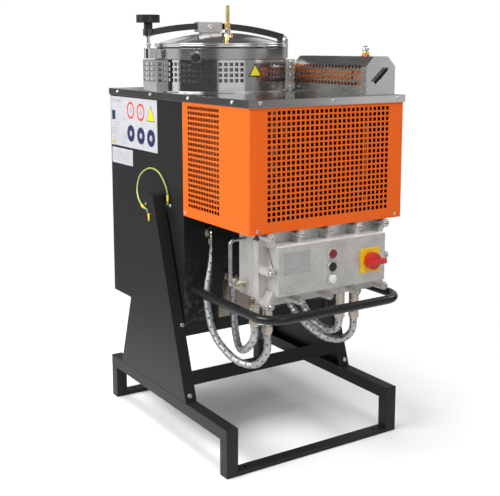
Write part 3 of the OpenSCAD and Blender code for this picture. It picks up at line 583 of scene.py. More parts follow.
def hose(name, route, radius, material, body, node, sides, step, relief=None):
    """A stiff tube along the route with a 'run' UV, around and along in metres.

    relief(angle, along) is the height of its skin over the radius.
    """
    fine = evenly(curve_points(route, FINE), step)
    verts, uvs = [], [0.0]
    for i, (p, side, over) in enumerate(sections(fine)):
        if i:
            uvs.append(uvs[-1] + (p - fine[i - 1]).length)
        for k in range(sides):
            a = 2 * math.pi * k / sides
            r = radius * MM + (relief(a, uvs[-1]) if relief else 0.0)
            verts.append(p + (side * math.cos(a) + over * math.sin(a)) * r)
    rows = len(fine)
    caps = [list(reversed(range(sides))), list(range(len(verts) - sides, len(verts)))]
    mesh = bpy.data.meshes.new(name)
    mesh.from_pydata(verts, [], wall_faces(rows, sides) + caps)
    mesh.shade_smooth()
    layer = mesh.uv_layers.new(name="run")
    rim = 2 * math.pi * radius * MM
    for f in mesh.polygons[: (rows - 1) * sides]:
        k = f.index % sides
        i = f.index // sides
        for loop, (du, dv) in zip(f.loop_indices, ((0, 0), (1, 0), (1, 1), (0, 1))):
            layer.data[loop].uv = ((k + du) / sides * rim, uvs[i + dv])
    mesh.materials.append(M[material])
    obj = bpy.data.objects.new(name, mesh)
    finish_piece(obj, body, SLOT_OF[node], [node])
    path = curve_points(route, 3)
    tuple(path[0])
    round(run_length(fine), 4)
    [tuple(p) for p in path]


STRANDS, STRAND_STEP, STRAND_DEPTH = 6, 0.013, 0.00055


def weave(a, s):
    """Height of a wire braid over the hose's skin, at angle a and distance s, in metres."""
    one = math.cos(STRANDS * a + 2 * math.pi * s / STRAND_STEP)
    two = math.cos(STRANDS * a - 2 * math.pi * s / STRAND_STEP)
    return STRAND_DEPTH * max(one, two) - STRAND_DEPTH


CONDUITS = {
    "conduit_left_outer": [(-168, -88, 560), (-176, -88, 500), (-194, -95, 410), (-192, -130, 315),
                           (-164, -190, 255), (-136, -250, 250), (-128, -296, 295), (-128, -300, 350)],
    "conduit_left_inner": [(-105, -88, 425), (-107, -94, 385), (-124, -130, 325), (-152, -195, 290),
                           (-167, -252, 300), (-169, -296, 340), (-169, -300, 378)],
    "conduit_right_outer": [(70, -88, 425), (72, -96, 385), (90, -140, 325), (122, -200, 278),
                            (152, -255, 272), (167, -292, 302), (168, -300, 344)],
    "conduit_right_inner": [(110, -88, 450), (109, -94, 415), (105, -135, 365), (105, -195, 322),
                            (110, -250, 308), (116, -290, 322), (117, -300, 352)],
}
for cord_name, cord_route in CONDUITS.items():
    hose(cord_name + "_braid", cord_route, 10.5, "braid", TILTING, cord_name, 32, 0.0016, weave)
SENSOR = [(-215, -276, 490), (-222, -276, 491), (-227, -276, 496), (-228, -276, 504), (-228, -276, 596),
          (-226, -276, 604), (-221, -276, 610), (-213, -276, 612), (-185, -276, 612)]
hose("sensor_line_tube", SENSOR, 5, "grey_tube", TILTING, "sensor_line", 16, 0.003)
BONDING = [(-292, 81, 647), (-293, 104, 654), (-292, 132, 676), (-288, 144, 706), (-281, 133, 742),
           (-270, 98, 762), (-262, 58, 754), (-257, 28, 722), (-255, 17, 690), (-255, 19, 664)]
hose("bonding_wire_run", BONDING, 2, "wire", "floor_frame", "bonding_wire", 12, 0.002)

# ---- frame and cabinet

for node_names, look, edge in (
        ("rails", "charcoal", 2.2), ("legs", "charcoal", 1.8), ("rail_plugs", "charcoal", 0.8),
        ("floor_bars left_panel right_panel", "charcoal", 1.0), ("crossbar bearing_housings", "charcoal", 0.8),
        ("bushes", "brass", 0.3), ("trunnions", "zinc", 0.6), ("floor_plates front_post", "charcoal", 0.8),
        ("cabinet_shell", "charcoal", 1.2), ("top_plate", "top", 0.9), ("boiler_pot oil_jacket", "dull", 0.8),
        ("heating_elements", "copper", 0), ("insulation", "wool", 1.5), ("collar", "band", 0.6),
        ("port_plug", "black_plastic", 1.2), ("gasket", "rubber", 0.4), ("bolt_lug", "chrome", 2.0),
        ("lid_hinge_bracket", "chrome", 1.5), ("condenser_coil", "copper", 0), ("fan_shroud", "inner", 0.5),
        ("fan_motor", "motor", 1.0), ("fan", "black_plastic", 0.5), ("distillate_outlet", "tube", 0.4),
        ("control_box", "cast", 2.4), ("control_gear", "gear", 0.8), ("conduit_fittings", "nickel", 0.9),
        ("handle", "black", 0.8), ("vent_nozzle", "brass", 0.5), ("clamp_screw", "chrome", 0.5),
        ("switch_plate", "yellow", 1.6), ("button_collars", "cast", 1.2)):
    for node_name in node_names.split():
        carry(node_name, look, edge)
FACES_UP, LEDGE_AREA = 0.95, 3e-4  # the castings' upward faces over this many square metres are painted lighter, as painted light from above
for casting in (carry("control_cover", "cast", 2.2, 3), bpy.data.objects["control_box_finish"]):
    casting.data.materials.append(M["cast_painted_light"])
    for f in casting.data.polygons:
        f.material_index = int(f.normal.z > FACES_UP and f.area > LEDGE_AREA)
carry("lid_arm", "arm", 1.4, 3)
carry("star_knob", "black_plastic", 2.6, 4)
carry("switch_knob", "red", 1.6, 3)

# The vapour pipe is cut across at the guard, and inside it the pipe is painted near-black, as painted shade
PIPE_X, PIPE_Y = 186, -40  # where it enters its own cover
PIPE_Z, CUT_R = 1.03, 0.199  # its height, and a radius just outside the guard, in metres
DARK_Y, DARK_Z = -0.06, 1.0  # behind and above these, in metres, is the end that is inside
pipe = carry("vapour_pipe", "pipe_orange", 0.4)
pipe.data.materials.append(M["inner"])
cutter = bmesh.new()
cutter.from_mesh(pipe.data)
pipe_dir = Vector((PIPE_X - BOILER_X, PIPE_Y - BOILER_Y, 0)).normalized()
guard_edge = Vector((*BOILER, PIPE_Z)) + pipe_dir * CUT_R
bmesh.ops.bisect_plane(cutter, geom=cutter.verts[:] + cutter.edges[:] + cutter.faces[:], plane_co=guard_edge,
                       plane_no=pipe_dir, dist=1e-6)
for f in cutter.faces:
    at = f.calc_center_median()
    if (at - guard_edge).dot(pipe_dir) < 0 and at.y > DARK_Y and at.z > DARK_Z:
        f.material_index = 1
cutter.to_mesh(pipe.data)
cutter.free()

relief = Matrix.Translation((198, -296, 0))
Solid().lathe([(0, 1082), (12, 1082), (12, 1084.4), (11.3, 1085), (0, 1085)], 40, relief).piece(
    "relief_washer", "orange", "orange_paint", ["relief_fitting"])
Solid().prism(circle(11, 6), 1085, 1093, relief).piece("relief_nut", "brass", "brass", width=1.0)
valve_ball = [(9 * math.sin(a), 1102 - 9 * math.cos(a)) for a in (0.7 + 0.122 * k for k in range(1, 20))]
Solid().lathe([(0, 1093), (7, 1093), (7, 1097), (5.6, 1098), (5.6, 1099)] + valve_ball + [(0, 1111)], 32,
              relief).piece("relief_valve", "chrome", "zinc_steel")

# ---- condenser housing

H_X, H_FRONT, H_REAR, H_LOW, H_HIGH = 248.0, -398.0, -62.0, 646.0, 978.0
FOLD = 3.0  # outer radius of the sheet's two bends
SIDE = H_REAR - H_FRONT - FOLD
BEND = math.pi / 2 * FOLD
FACE = 2 * (H_X - FOLD)
FACE_START = SIDE + BEND
H_LENGTH = 2 * FACE_START + FACE


def housing(u, v, inset):
    """Around the housing from its left rear edge to its right rear edge."""
    t = 2.0 * inset
    mirror = u > FACE_START + FACE / 2
    if mirror:
        u = H_LENGTH - u
    if u <= SIDE:
        x, y = -H_X + t, H_REAR - u
    elif u < FACE_START:
        a = (u - SIDE) / FOLD
        x = -H_X + FOLD - (FOLD - t) * math.cos(a)
        y = H_FRONT + FOLD - (FOLD - t) * math.sin(a)
    else:
        x, y = -H_X + FOLD + (u - SIDE - BEND), H_FRONT + t
    return (-x if mirror else x), y, v


H_HOLE = 9.4
side_start, side_stop = H_REAR + 92, H_REAR + 255  # of the holes in a side, from its rear edge
middle_u = FACE_START + H_X - FOLD
u_lines = [0, SIDE] + [SIDE + BEND * k / 4 for k in (1, 2, 3)] + [FACE_START]
u_lines += [H_LENGTH - x for x in u_lines]
u_values, u_cells = grid([(side_start, side_stop, 12, 10.6), (middle_u - 194, middle_u + 196, 27, H_HOLE),
                          (H_LENGTH - side_stop, H_LENGTH - side_start, 12, H_HOLE)], u_lines)
v_values, v_cells = grid([(675, 951, 20, H_HOLE)], [H_LOW, H_HIGH])
# The housing's inner face and hole walls take the near-black coat, as painted shade
perforated("condenser_housing_sheet", u_values, v_values, {(i, j) for i in u_cells for j in v_cells}, housing,
           "orange", "orange_paint", ["condenser_housing"], shade_lining="inner")

# ---- boiler guard

GUARD_IN, GUARD_OUT, GUARD_LOW, GUARD_HIGH = 197.0, 198.5, 980.0, 1071.0
PITCH = 15 / GUARD_OUT
HOLE = 10 / GUARD_OUT
GUARD_COUNT = 82  # columns of holes round the drum


def drum(u, v, inset):
    r = GUARD_IN if inset else GUARD_OUT
    return BOILER_X + r * math.cos(u), BOILER_Y + r * math.sin(u), v


def near(angle, middle, half):
    """Whether two directions are within half of each other, in radians."""
    return abs((angle - middle + math.pi) % (2 * math.pi) - math.pi) < half


guard_v, row_cells = grid([(1009, 1064, 4, 10)], [GUARD_LOW, GUARD_HIGH])
SIGN_WAY, BAY_WAY, PORT_WAY = math.radians(268), math.radians(172), math.radians(227 - 8)
SIGN_HALF, BAY_HALF, PORT_HALF = math.radians(10.5), math.radians(19), math.radians(6)
PIPE_WAY, PIPE_HALF = math.atan2(PIPE_Y - BOILER_Y, PIPE_X - BOILER_X), math.asin(30 / GUARD_OUT)
PORT_TOP = 1050  # over the port plug there are no holes above this
PIPE_BOTTOM = 1000  # the pipe's opening takes every cell that reaches above this
guard_u, guard_holes = [], set()
for k in range(GUARD_COUNT):
    start = 2 * math.pi * k / GUARD_COUNT
    guard_u += [start, start + HOLE]
    middle = start + HOLE / 2
    if not near(middle, SIGN_WAY, SIGN_HALF) and not near(middle, BAY_WAY, BAY_HALF):
        guard_holes |= {(2 * k, j) for j in row_cells
                        if not near(middle, PORT_WAY, PORT_HALF) or guard_v[j] <= PORT_TOP}
    for cell, middle in ((2 * k, start + HOLE / 2), (2 * k + 1, start + (HOLE + PITCH) / 2)):
        if near(middle, PIPE_WAY, PIPE_HALF):
            guard_holes |= {(cell, j) for j in range(len(guard_v) - 1) if guard_v[j + 1] > PIPE_BOTTOM}
perforated("guard_drum", guard_u + [2 * math.pi], guard_v, guard_holes, drum, "guard", "stainless",
           ["guard_ring"], closed=True)

Solid().ring(197, 211, 980, 983, 96).piece("guard_foot", "guard", "stainless", width=0.8, matrix=AT_BOILER)

BAY_REACH, BAY_WIDTH = 38.0, 120.0  # the bay's sides and its front, in millimetres


def bay(u, v, inset):
    """The guard's bay around the clamp, from one side of the drum to the other, in the boiler's frame."""
    t = 1.5 * inset
    if u <= BAY_REACH:
        return -186 - u, -60 + t, v
    if u < BAY_REACH + BAY_WIDTH:
        return -224 + t, -60 + (u - BAY_REACH), v
    return -224 + (u - BAY_REACH - BAY_WIDTH), 60 - t, v


bay_u, bay_cells = grid([(7, 32, 2, 10), (48, 148, 7, 10), (164, 189, 2, 10)], [0, 38, 158, 196])
perforated("guard_bay", bay_u, guard_v, {(i, j) for i in bay_cells for j in row_cells}, bay,
           "guard", "stainless", matrix=AT_BOILER)
Solid().prism([(-223.5, -59.5), (-189.5, -59.5), (-197.5, -20), (-197.5, 20), (-189.5, 59.5), (-223.5, 59.5)],
              1069.5, 1071).piece("guard_bay_roof", "guard", "stainless", width=0.4, matrix=AT_BOILER)

# ---- vapour pipe cover

C_LEFT, C_RIGHT, C_TOP, C_LOW = 136.0, 236.0, 1082.0, 980.0
CH = 26.0  # chamfer of the two upper corners


def hood_profile(inset):
    """The cover's section, as (x, z), outside or inset by the sheet."""
    t = 1.5 * inset
    return [(C_LEFT + t, C_LOW), (C_LEFT + t, C_TOP - CH - t / 2), (C_LEFT + CH + t / 2, C_TOP - t),
            (C_RIGHT - CH - t / 2, C_TOP - t), (C_RIGHT - t, C_TOP - CH - t / 2), (C_RIGHT - t, C_LOW)]


outer = hood_profile(0)
breaks = [0.0]
for a, b in zip(outer, outer[1:]):
    breaks.append(breaks[-1] + math.dist(a, b))


def hood(u, v, inset):
    """The cover's sheet: u goes around its section and v is y."""
    corners = hood_profile(inset)
    for i in range(5):
        if u <= breaks[i + 1] + 1e-6:
            t = (u - breaks[i]) / (breaks[i + 1] - breaks[i])
            a, b = corners[i], corners[i + 1]
            return a[0] + (b[0] - a[0]) * t, v, a[1] + (b[1] - a[1]) * t
    return corners[-1][0], v, corners[-1][1]


fold_lines = list(breaks)
for b in breaks[1:-1]:
    fold_lines += [b - 1.2, b + 1.2]
hood_u, hood_rows = grid([(1005 - C_LOW, 1059 - C_LOW, 4, 9.6)], fold_lines)
hood_v, hood_cols = grid([(-350, -48, 21, 9.8)], [-372, -40])
perforated("pipe_cover_sheet", hood_u, hood_v, {(i, j) for i in hood_rows for j in hood_cols}, hood,
           "cover", "cover_steel", ["pipe_cover"])
CAP_LIP_Y = -0.3755  # in front of this, in metres, the lip of the cap's slot is painted near-black, as painted shade
cap = carry("pipe_cover_cap", "tube", 0.7)
cap.data.materials.append(M["inner"])
for f in cap.data.polygons:
    f.material_index = int(f.center.y < CAP_LIP_Y)
link = Solid()
link.prism([(106, -44), (136.5, -50), (136.5, -44), (135, -44.5), (107, -39)], 985, 1072)
link.prism([(100, -60), (136, -66), (136, -50), (108, -44)], 980, 981.5)
link.piece("cover_link_plate", "tube", "stainless", width=0.5)
link_bolts = Solid()
for z in (1064, 1048, 1026, 992):
    spot = facing(121, -47.2, z, (-0.19, -0.98, 0))
    link_bolts.lathe([(0, 0), (5.2, 0), (5.2, 1.2), (4.6, 3.2), (3, 4.2), (0, 4.6)], 24, spot)
link_bolts.piece("cover_link_bolts", "chrome", "stainless")
stood_up = Matrix(((1, 0, 0, 0), (0, 0, -1, -62), (0, 1, 0, 0), (0, 0, 0, 1)))  # x and z, against y = -62
# The access plate's dark brown tone is painted shade and a painted reflection
Solid().prism(box(-148, -18, 336, 446), 0, 1.4, stood_up).piece("front_access_plate", "steel_painted_shade_and_reflection", "stainless",
                                                                width=0.4)

# ---- lid

LID_LOW, RIM, DOME_R, DOME_H = 1106.0, 12.0, 184.0, 31.0
RIM_TOP = LID_LOW + RIM
BALL = (DOME_R ** 2 + DOME_H ** 2) / (2 * DOME_H)  # radius of the ball the dome is cut from
BALL_Z = LID_LOW + RIM + DOME_H - BALL
DOME_ANGLE = math.asin(DOME_R / BALL)
ON_LID = {"body": "lid", "matrix": AT_BOILER}


def dome(r):
    """Points of the dome from its crown to its foot."""
    return [(r * math.sin(DOME_ANGLE * i / 24), BALL_Z + r * math.cos(DOME_ANGLE * i / 24)) for i in range(25)]


fillet = [(DOME_R + 2.2, RIM_TOP + 0.35), (DOME_R + 4.5, RIM_TOP - 0.1)]
rim_edge = [(194.4, RIM_TOP - 0.1), (195.6, RIM_TOP - 0.7), (196, RIM_TOP - 1.8),
            (196, LID_LOW + 7.2), (195.3, LID_LOW + 6.6), (195.3, LID_LOW + 5.8), (196, LID_LOW + 5.2),
            (196, LID_LOW + 1.2), (195, LID_LOW)]
under = [(167, LID_LOW), (167, LID_LOW + 8)]
inside = [p for p in reversed(dome(BALL - 4)) if p[0] < 161]
Solid().lathe(dome(BALL) + fillet + rim_edge + under + inside, 160).piece(
    "lid_dome", "lid", "stainless", ["lid"], **ON_LID)
Solid().prism(box(-66, -8, -12, 12), 1142, 1151).piece("lid_pad", "chrome", "stainless", width=1.2, **ON_LID)
Solid().lathe([(0, 1140), (11, 1143.5), (9.5, 1146), (8, 1147), (8, 1156), (9.4, 1157), (9.4, 1159), (8, 1160),
               (0, 1160)], 32, Matrix.Translation((13, -22, 0))).piece(
    "nozzle_base", "chrome", "stainless", width=0.3, **ON_LID)
STUD_R = 100  # from the dome's middle
foot_z = BALL_Z + math.sqrt(BALL ** 2 - STUD_R ** 2)
Solid().lathe([(0, foot_z - 2), (5, foot_z - 2), (5, foot_z + 5), (4, foot_z + 6.5), (0, foot_z + 6.5)], 24,
              Matrix.Rotation(math.radians(-95), 4, "Z") @ Matrix.Translation((STUD_R, 0, 0))).piece(
    "lid_stud", "copper", "copper", width=0.3, **ON_LID)
Solid().prism(box(-78.5, -1.5, -16.5, 16.5), 1150.5, 1179.5).piece(
    "arm_block", "block", "stainless", width=2.0, **ON_LID)
Solid().lathe([(0, 0), (7.5, 0), (7.5, 3.6), (6.6, 4.5), (3.8, 4.5), (3.6, 2), (0, 2)], 32,
              facing(-40, -16.5, 1166, FRONT)).piece("block_bolt", "chrome", "stainless", **ON_LID)

# ---- screws


def screw_head(solid, x, y, z, direction, r, height):
    """A domed head with a hexagon socket, on a thin washer."""
    place = facing(x, y, z, direction)
    wall = 0.46 * r
    solid.lathe([(0, 0), (r, 0), (r, height * 0.3), (r * 0.93, height * 0.72), (r * 0.68, height),
                 (wall, height), (wall * 0.9, height * 0.45), (0, height * 0.4)], 24, place)


heads = Solid()
for side in (-1, 1):
    for y in (-323, -99, 125, 348):
        screw_head(heads, side * 251, y, 972, (side, 0, 0), 5, 2.4)
    screw_head(heads, side * 248, -74, 656, (side, 0, 0), 4.6, 2.4)
    screw_head(heads, side * 225, -398, 656, FRONT, 4.6, 2.4)
for x in (-219, 3, 223):
    screw_head(heads, x, -402, 972, FRONT, 5, 2.4)
heads.piece("sheet_screw_heads", "zinc", "zinc_steel", ["sheet_screws"])
caps = Solid()
bosses = [(x, z) for x in (-188, -94, 0, 94, 188) for z in (459, 635)] + [(-188, 546), (188, 546)]
for x, z in bosses:
    place = facing(x, -407, z, FRONT)
    caps.lathe([(0, 0), (7.6, 0), (7.6, 0.9), (6, 1), (6, 5.2), (5.3, 6), (3.2, 6), (3, 3), (0, 3)], 24, place)
caps.piece("cover_cap_screws", "zinc", "zinc_steel")
Solid().lathe([(0, 0), (7, 0), (7, 0.8), (4.6, 1), (4.6, 4), (0, 4)], 6,
              facing(-248, 19, 662, LEFT_WAY)).piece("cabinet_stud", "zinc", "zinc_steel", width=0.3)
carry("flange_bolts", "zinc", 0.8)

# ---- bonding wire ends


def along_route(route, start, stop):
    """Points of a route between two distances in metres, counted from its far end when they are negative."""
    fine = evenly(curve_points(route, FINE), 0.001)
    total_run = run_length(fine)
    out, gone = [], 0.0
    for a, b in zip(fine, fine[1:]):
        if start <= gone <= stop if start >= 0 else total_run + start <= gone <= total_run + stop:
            out.append(a)
        gone += (b - a).length
    return out


def sleeve(name, points, radius, sides=16, end_ease=0.82):
    """A short plastic sleeve with drawn-in ends, on the floor frame. Points and radius are in metres."""
    verts = []
    for i, (p, side, over) in enumerate(sections(points)):
        ease = end_ease if i in (0, len(points) - 1) else 1.0
        for k in range(sides):
            a = 2 * math.pi * k / sides
            verts.append((p + (side * math.cos(a) + over * math.sin(a)) * radius * ease) * 1000)
    caps = [list(range(sides)), list(range(len(verts) - sides, len(verts)))]
    piece(name, verts, wall_faces(len(points), sides) + caps, "sleeve", "yellow_plastic", body="floor_frame")


sleeve("wire_sleeve_frame", along_route(BONDING, 0.010, 0.028), 0.0034)
sleeve("wire_sleeve_cabinet", along_route(BONDING, -0.028, -0.010), 0.0034)
stub = [Vector((-0.2905, 0.068, 0.636)), Vector((-0.2908, 0.066, 0.630)), Vector((-0.2908, 0.065, 0.622)),
        Vector((-0.2908, 0.065, 0.614))]
sleeve("wire_stub_sleeve", stub, 0.0032)

# ---- buttons and pilot lamp

STEM_R, BUTTON_R, LAMP_R = 4, 12.0, 11.8
SHOULDER = 7.6  # where the domes start, from the cover's face
BUTTONS_X, COVER_Y = -8, -420


def dome_edge(r, height, first):
    return [(r * math.cos(a), SHOULDER + height * math.sin(a)) for a in (0.13 * k for k in range(first, 12))]


button_profile = [(0, -12), (STEM_R, -12), (STEM_R, 3.8), (BUTTON_R - 0.5, 3.8), (BUTTON_R, 4.3),
                  *dome_edge(BUTTON_R, 3.4, 0), (0, 11)]
lamp_profile = [(0, 0), (LAMP_R, 0), (LAMP_R, SHOULDER), *dome_edge(LAMP_R, 5.4, 1), (0, 13)]
for node_name, look, z, profile, sides in (("red_button", "dark_red", 577, button_profile, 48),
                                           ("black_button", "black_plastic", 543, button_profile, 48),
                                           ("pilot_lamp", "lamp", 510, lamp_profile, 40)):
    Solid().lathe(profile, sides, facing(BUTTONS_X, COVER_Y, z, FRONT)).piece(
        node_name + "_dome", look, SLOT_OF[node_name], [node_name], body=BODY_OF[node_name])

# ---- labels and plates


def sticker(name, outlines, low, high, material, nodes=()):
    """Flat prints on the cabinet's left side, between two heights over it in millimetres."""
    s = Solid()
    for outline in outlines:
        s.prism(outline, low, high, LEFT)
    s.piece(name, material, "label_film", nodes)


def triangle(x, y, r):
    return circle(r, 3, x, y, math.pi / 2)


def box_between(a, b):
    return box(min(a[0], b[0]), max(a[0], b[0]), min(a[1], b[1]), max(a[1], b[1]))


SIDE_X = -248
LEFT = facing(SIDE_X, 0, 0, LEFT_WAY)


def on_left(y, z):
    """A point of the cabinet's left side, in that side's own plane."""
    p = LEFT.inverted() @ Vector((SIDE_X, y, z))
    return p.x, p.y


def left_box(y0, y1, z0, z1):
    return box_between(on_left(y0, z0), on_left(y1, z1))


UPPER_SIGNS, LOWER_SIGNS = ((262, 918), (194, 916)), ((262, 848), (194, 846), (128, 844))
sticker("label_sheets", [left_box(88, 404, 804, 956), left_box(253, 401, 748, 797)], 0, 0.4, "label_film",
        ["labels"])
rings = Solid()
for y, z in UPPER_SIGNS:
    rings.ring(19.5, 25.5, 0.4, 0.6, 48, LEFT @ Matrix.Translation((*on_left(y, z), 0)))
rings.piece("label_red_rings", "label_red", "label_film")
sticker("label_grey_dots", [circle(9, 24, *on_left(y, z)) for y, z in UPPER_SIGNS]
        + [left_box(346, 398, 838 + 9 * k, 840.5 + 9 * k) for k in range(5)]
        + [left_box(290, 336, 812 + 8 * k, 814 + 8 * k) for k in range(5)]
        + [left_box(330, 398, 940, 947)], 0.4, 0.55, "label_grey")
sticker("label_navy_discs", [circle(25.5, 40, *on_left(y, z)) for y, z in LOWER_SIGNS]
        + [left_box(372, 396, 884, 912)], 0.4, 0.55, "label_navy")
sticker("label_pale_dots", [circle(9, 28, *on_left(y, z)) for y, z in LOWER_SIGNS], 0.55, 0.6, "label_grey")
for name, large, small, top, look in (("label_triangle_edges", 31, 13, 0.52, "label_black"),
                                      ("label_triangles", 27, 10.5, 0.6, "label_yellow")):
    sticker(name, [triangle(*on_left(128, 908), large), triangle(*on_left(385, 818), small)], 0.4, top, look)
sticker("label_text_lines", [left_box(262, 392, 757 + 6.5 * k, 759 + 6.5 * k) for k in range(5)], 0.4, 0.5,
        "label_grey")


def curved_triangle(name, size, middle_z, lift, material, rows=10, across=9):
    """A triangle bent to the guard drum, at its front."""
    verts, faces = [], []
    for r in (GUARD_OUT, GUARD_OUT + lift):
        for i in range(rows + 1):
            t = i / rows
            z = middle_z - size / 2 + size * 1.5 * t
            half = size * 0.866 * (1 - t) + 0.05
            for j in range(across):
                a = SIGN_WAY + (-half + 2 * half * j / (across - 1)) / GUARD_OUT
                verts.append((BOILER_X + r * math.cos(a), BOILER_Y + r * math.sin(a), z))
    n = (rows + 1) * across
    for i in range(rows):
        for j in range(across - 1):
            first = i * across + j
            q = [first, first + 1, first + across + 1, first + across]
            faces += [q, [n + x for x in reversed(q)]]
    rim = (list(range(across)) + [(i + 1) * across - 1 for i in range(1, rows + 1)]
           + [rows * across + j for j in range(across - 2, -1, -1)]
           + [i * across for i in range(rows - 1, 0, -1)])
    for a, b in zip(rim, rim[1:] + rim[:1]):
        faces.append([a, b, n + b, n + a])
    piece(name, verts, faces, material, "label_film")


curved_triangle("guard_triangle_edge", 25, 1037, 0.35, "label_black")
curved_triangle("guard_triangle", 19, 1037, 0.6, "label_yellow")

FACE_PLANE = facing(0, COVER_Y, 0, FRONT)


def on_face(x, z):
    """A point of the control cover's face, in that face's own plane."""
    p = FACE_PLANE.inverted() @ Vector((x, COVER_Y, z))
    return p.x, p.y


def face_box(x0, x1, z0, z1):
    return box_between(on_face(x0, z0), on_face(x1, z1))


def border(solid, x0, x1, z0, z1, bar, post, low, high):
    """Two bars and two posts just inside a rectangle of the cover's face."""
    for edges in ((x0, x1, z1 - bar, z1), (x0, x1, z0, z0 + bar),
                  (x0, x0 + post, z0, z1), (x1 - post, x1, z0, z1)):
        solid.prism(face_box(*edges), low, high, FACE_PLANE)


plate, plate_text_and_shade = Solid(), Solid()
plate.prism(face_box(-157, -78, 540, 594), 0, 0.5, FACE_PLANE)
border(plate, -157, -78, 540, 594, 2.5, 2.2, 0.5, 1.0)
# Lines of the plate's raised text, in a dark grey that is painted shade of their relief
for k in range(6):
    plate_text_and_shade.prism(face_box(-150, -85 - (9 * (k % 3)), 547 + 7 * k, 549.6 + 7 * k), 0.5, 0.8, FACE_PLANE)
# A thin dark outline just outside the plate: painted shadow at its edge
border(plate_text_and_shade, -158.2, -76.8, 538.8, 595.2, 1.2, 1.2, 0, 0.3)
# The plate's raised triangle, and a dark ring just outside it as painted shadow of its edge
for solid, r_out, r_in, height in ((plate, 17, 12.5, 0.9), (plate_text_and_shade, 19, 17, 0.4)):
    edge_out, edge_in = triangle(*on_face(-140, 498), r_out), triangle(*on_face(-140, 498), r_in)
    for k in range(3):
        j = (k + 1) % 3
        solid.prism([edge_out[k], edge_out[j], edge_in[j], edge_in[k]], 0, height, FACE_PLANE)
plate_text_and_shade.piece("rating_plate_text_and_painted_shade", "label_grey", "label_film")
plate.piece("rating_plate", "plate", "stainless", ["rating_plates"], width=0.15)

# ---- floor and light

floor_mesh = bpy.data.meshes.new("floor")
FLOOR_HALF, FLOOR_Z = 12, -0.0005
FADE_START, FADE_STOP = 0.55, 1.5  # metres from the middle, over which the floor turns clear
floor_mesh.from_pydata([(x, y, FLOOR_Z) for x, y in box(-FLOOR_HALF, FLOOR_HALF, -FLOOR_HALF, FLOOR_HALF)], [],
                       [(0, 1, 2, 3)])
white = Shader("floor_white", Specular_IOR_Level=0.2)
white.paint(white.blend(white.span(white.noise(1.5, 3), 0, 1), (0.9, 0.9, 0.9), (0.92, 0.92, 0.92)))
white.gloss(white.span(white.noise(3, 2), 0.6, 0.7))
far = white.span(white.vector("LENGTH", white.coord, output="Value"), 0, 1, FADE_START, FADE_STOP)
clear = white.node("ShaderNodeBsdfTransparent").outputs[0]
fade = white.node("ShaderNodeMixShader", {0: far, 1: white.bsdf.outputs[0], 2: clear})
white.link(fade.outputs[0], white.out.inputs["Surface"])
floor_mesh.materials.append(white.mat)
floor = bpy.data.objects.new("floor", floor_mesh)
bpy.context.scene.collection.objects.link(floor)

world = bpy.data.worlds.new("studio")
bpy.context.scene.world = world
room = Nodes(world)
parts = room.node("ShaderNodeSeparateXYZ", {0: room.node("ShaderNodeTexCoord").outputs["Generated"]})


def bands(value, stops):
    """Grey over a value from 0 to 1, eased between (position, grey) stops."""
    ramp = room.node("ShaderNodeValToRGB", {0: value})
    ramp.color_ramp.interpolation = "EASE"
    first, last = ramp.color_ramp.elements[0], ramp.color_ramp.elements[1]
    first.position, first.color = stops[0][0], (*[stops[0][1]] * 3, 1)
    last.position, last.color = stops[-1][0], (*[stops[-1][1]] * 3, 1)
    for position, v in stops[1:-1]:
        ramp.color_ramp.elements.new(position).color = (v, v, v, 1)
    return ramp.outputs[0]


# Softboxes and dark flags around the room, by direction from 0 to 1 and then by height
compass = room.math("ARCTAN2", parts.outputs["Y"], parts.outputs["X"])
around = room.math("ADD", room.math("DIVIDE", compass, 2 * math.pi), 0.5)
walls = bands(around, [(0.0, 0.08), (0.14, 0.08), (0.165, 0.85), (0.27, 0.85), (0.285, 0.34), (0.348, 0.34),
                       (0.362, 1.0), (0.39, 1.0), (0.405, 0.08), (0.53, 0.10), (0.57, 0.9), (0.78, 0.9),
                       (0.80, 0.17), (0.845, 0.17), (0.86, 1.1), (0.945, 1.1), (0.965, 0.08), (1.0, 0.08)])
up = room.math("ADD", room.math("MULTIPLY", parts.outputs["Z"], 0.5), 0.5)
low_part = bands(up, [(0.0, 1.0), (0.33, 1.0), (0.42, 0.0), (1.0, 0.0)])
high_part = bands(up, [(0.0, 0.0), (0.66, 0.0), (0.76, 1.0), (1.0, 1.0)])
shelf = bands(up, [(0.0, 1.0), (0.47, 1.0), (0.492, 0.6), (0.55, 0.6), (0.566, 1.2), (0.632, 1.2),
                   (0.65, 0.95), (1.0, 0.95)])
behind = bands(around, [(0.0, 0.0), (0.53, 0.0), (0.57, 1.0), (0.79, 1.0), (0.81, 0.0), (1.0, 0.0)])
spine = bands(around, [(0.0, 1.0), (0.646, 1.0), (0.652, 0.1), (0.674, 0.1), (0.680, 1.0), (1.0, 1.0)])
shelf = room.math("MULTIPLY", shelf, spine)
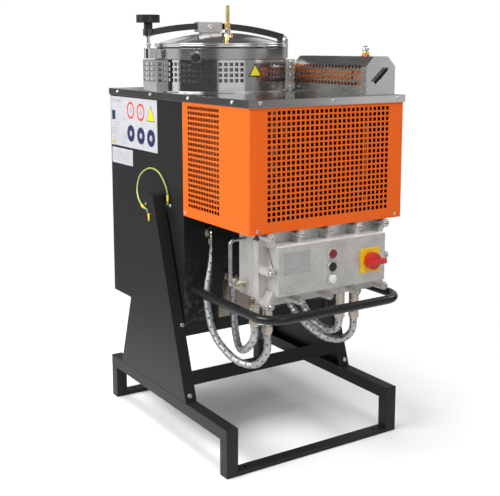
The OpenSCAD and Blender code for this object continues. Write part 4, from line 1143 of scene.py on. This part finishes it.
shelved = room.math("ADD", room.math("MULTIPLY", behind, shelf), room.math("SUBTRACT", 1.0, behind))
walls = room.math("MULTIPLY", walls, shelved)
zenith = bands(up, [(0.0, 0.0), (0.82, 0.0), (0.92, 1.0), (1.0, 1.0)])
middle = room.math("SUBTRACT", 1.0, room.math("ADD", low_part, high_part))
FLOOR_GREY, CEILING_GREY, ZENITH_GREY = 0.7, 0.14, 0.5
light = room.math("MULTIPLY", middle, walls)
for part, grey in ((low_part, FLOOR_GREY), (high_part, CEILING_GREY), (zenith, ZENITH_GREY)):
    light = room.math("ADD", light, room.math("MULTIPLY", part, grey))
lit = room.node("ShaderNodeBackground", {"Strength": light})
seen = room.node("ShaderNodeBackground", {"Color": (1, 1, 1, 1), "Strength": 1.0})
mix = room.node("ShaderNodeMixShader", {0: room.node("ShaderNodeLightPath").outputs["Is Camera Ray"],
                                        1: lit.outputs[0], 2: seen.outputs[0]})
room.node("ShaderNodeOutputWorld", {"Surface": mix.outputs[0]})


def soft_box(name, place, aim, width, height, power):
    light = bpy.data.lights.new(name, "AREA")
    light.shape = "RECTANGLE"
    light.size, light.size_y, light.energy = width, height, power
    obj = bpy.data.objects.new(name, light)
    obj.location = place
    obj.rotation_euler = (Vector(aim) - Vector(place)).to_track_quat("-Z", "Y").to_euler()
    bpy.context.scene.collection.objects.link(obj)
    return obj


soft_box("front_top", (-0.3, -1.9, 3.1), (0, -0.4, 0.6), 1.0, 0.8, 20).visible_glossy = False
soft_box("key_left", (-3.0, -0.1, 2.7), (0, 0, 0.6), 2.4, 1.6, 135)
soft_box("front", (0.4, -3.2, 2.8), (0, 0, 0.6), 1.8, 1.2, 22)
soft_box("right", (3.0, -0.6, 2.6), (0, 0, 0.6), 1.4, 1.2, 30)
soft_box("back", (0.3, 3.0, 2.6), (0, 0, 0.7), 2.0, 1.2, 35).visible_glossy = False
soft_box("overhead", (-0.6, 0.6, 3.4), (0, 0, 0.9), 1.0, 1.6, 60).visible_glossy = False
bpy.context.scene.view_settings.view_transform = "Standard"
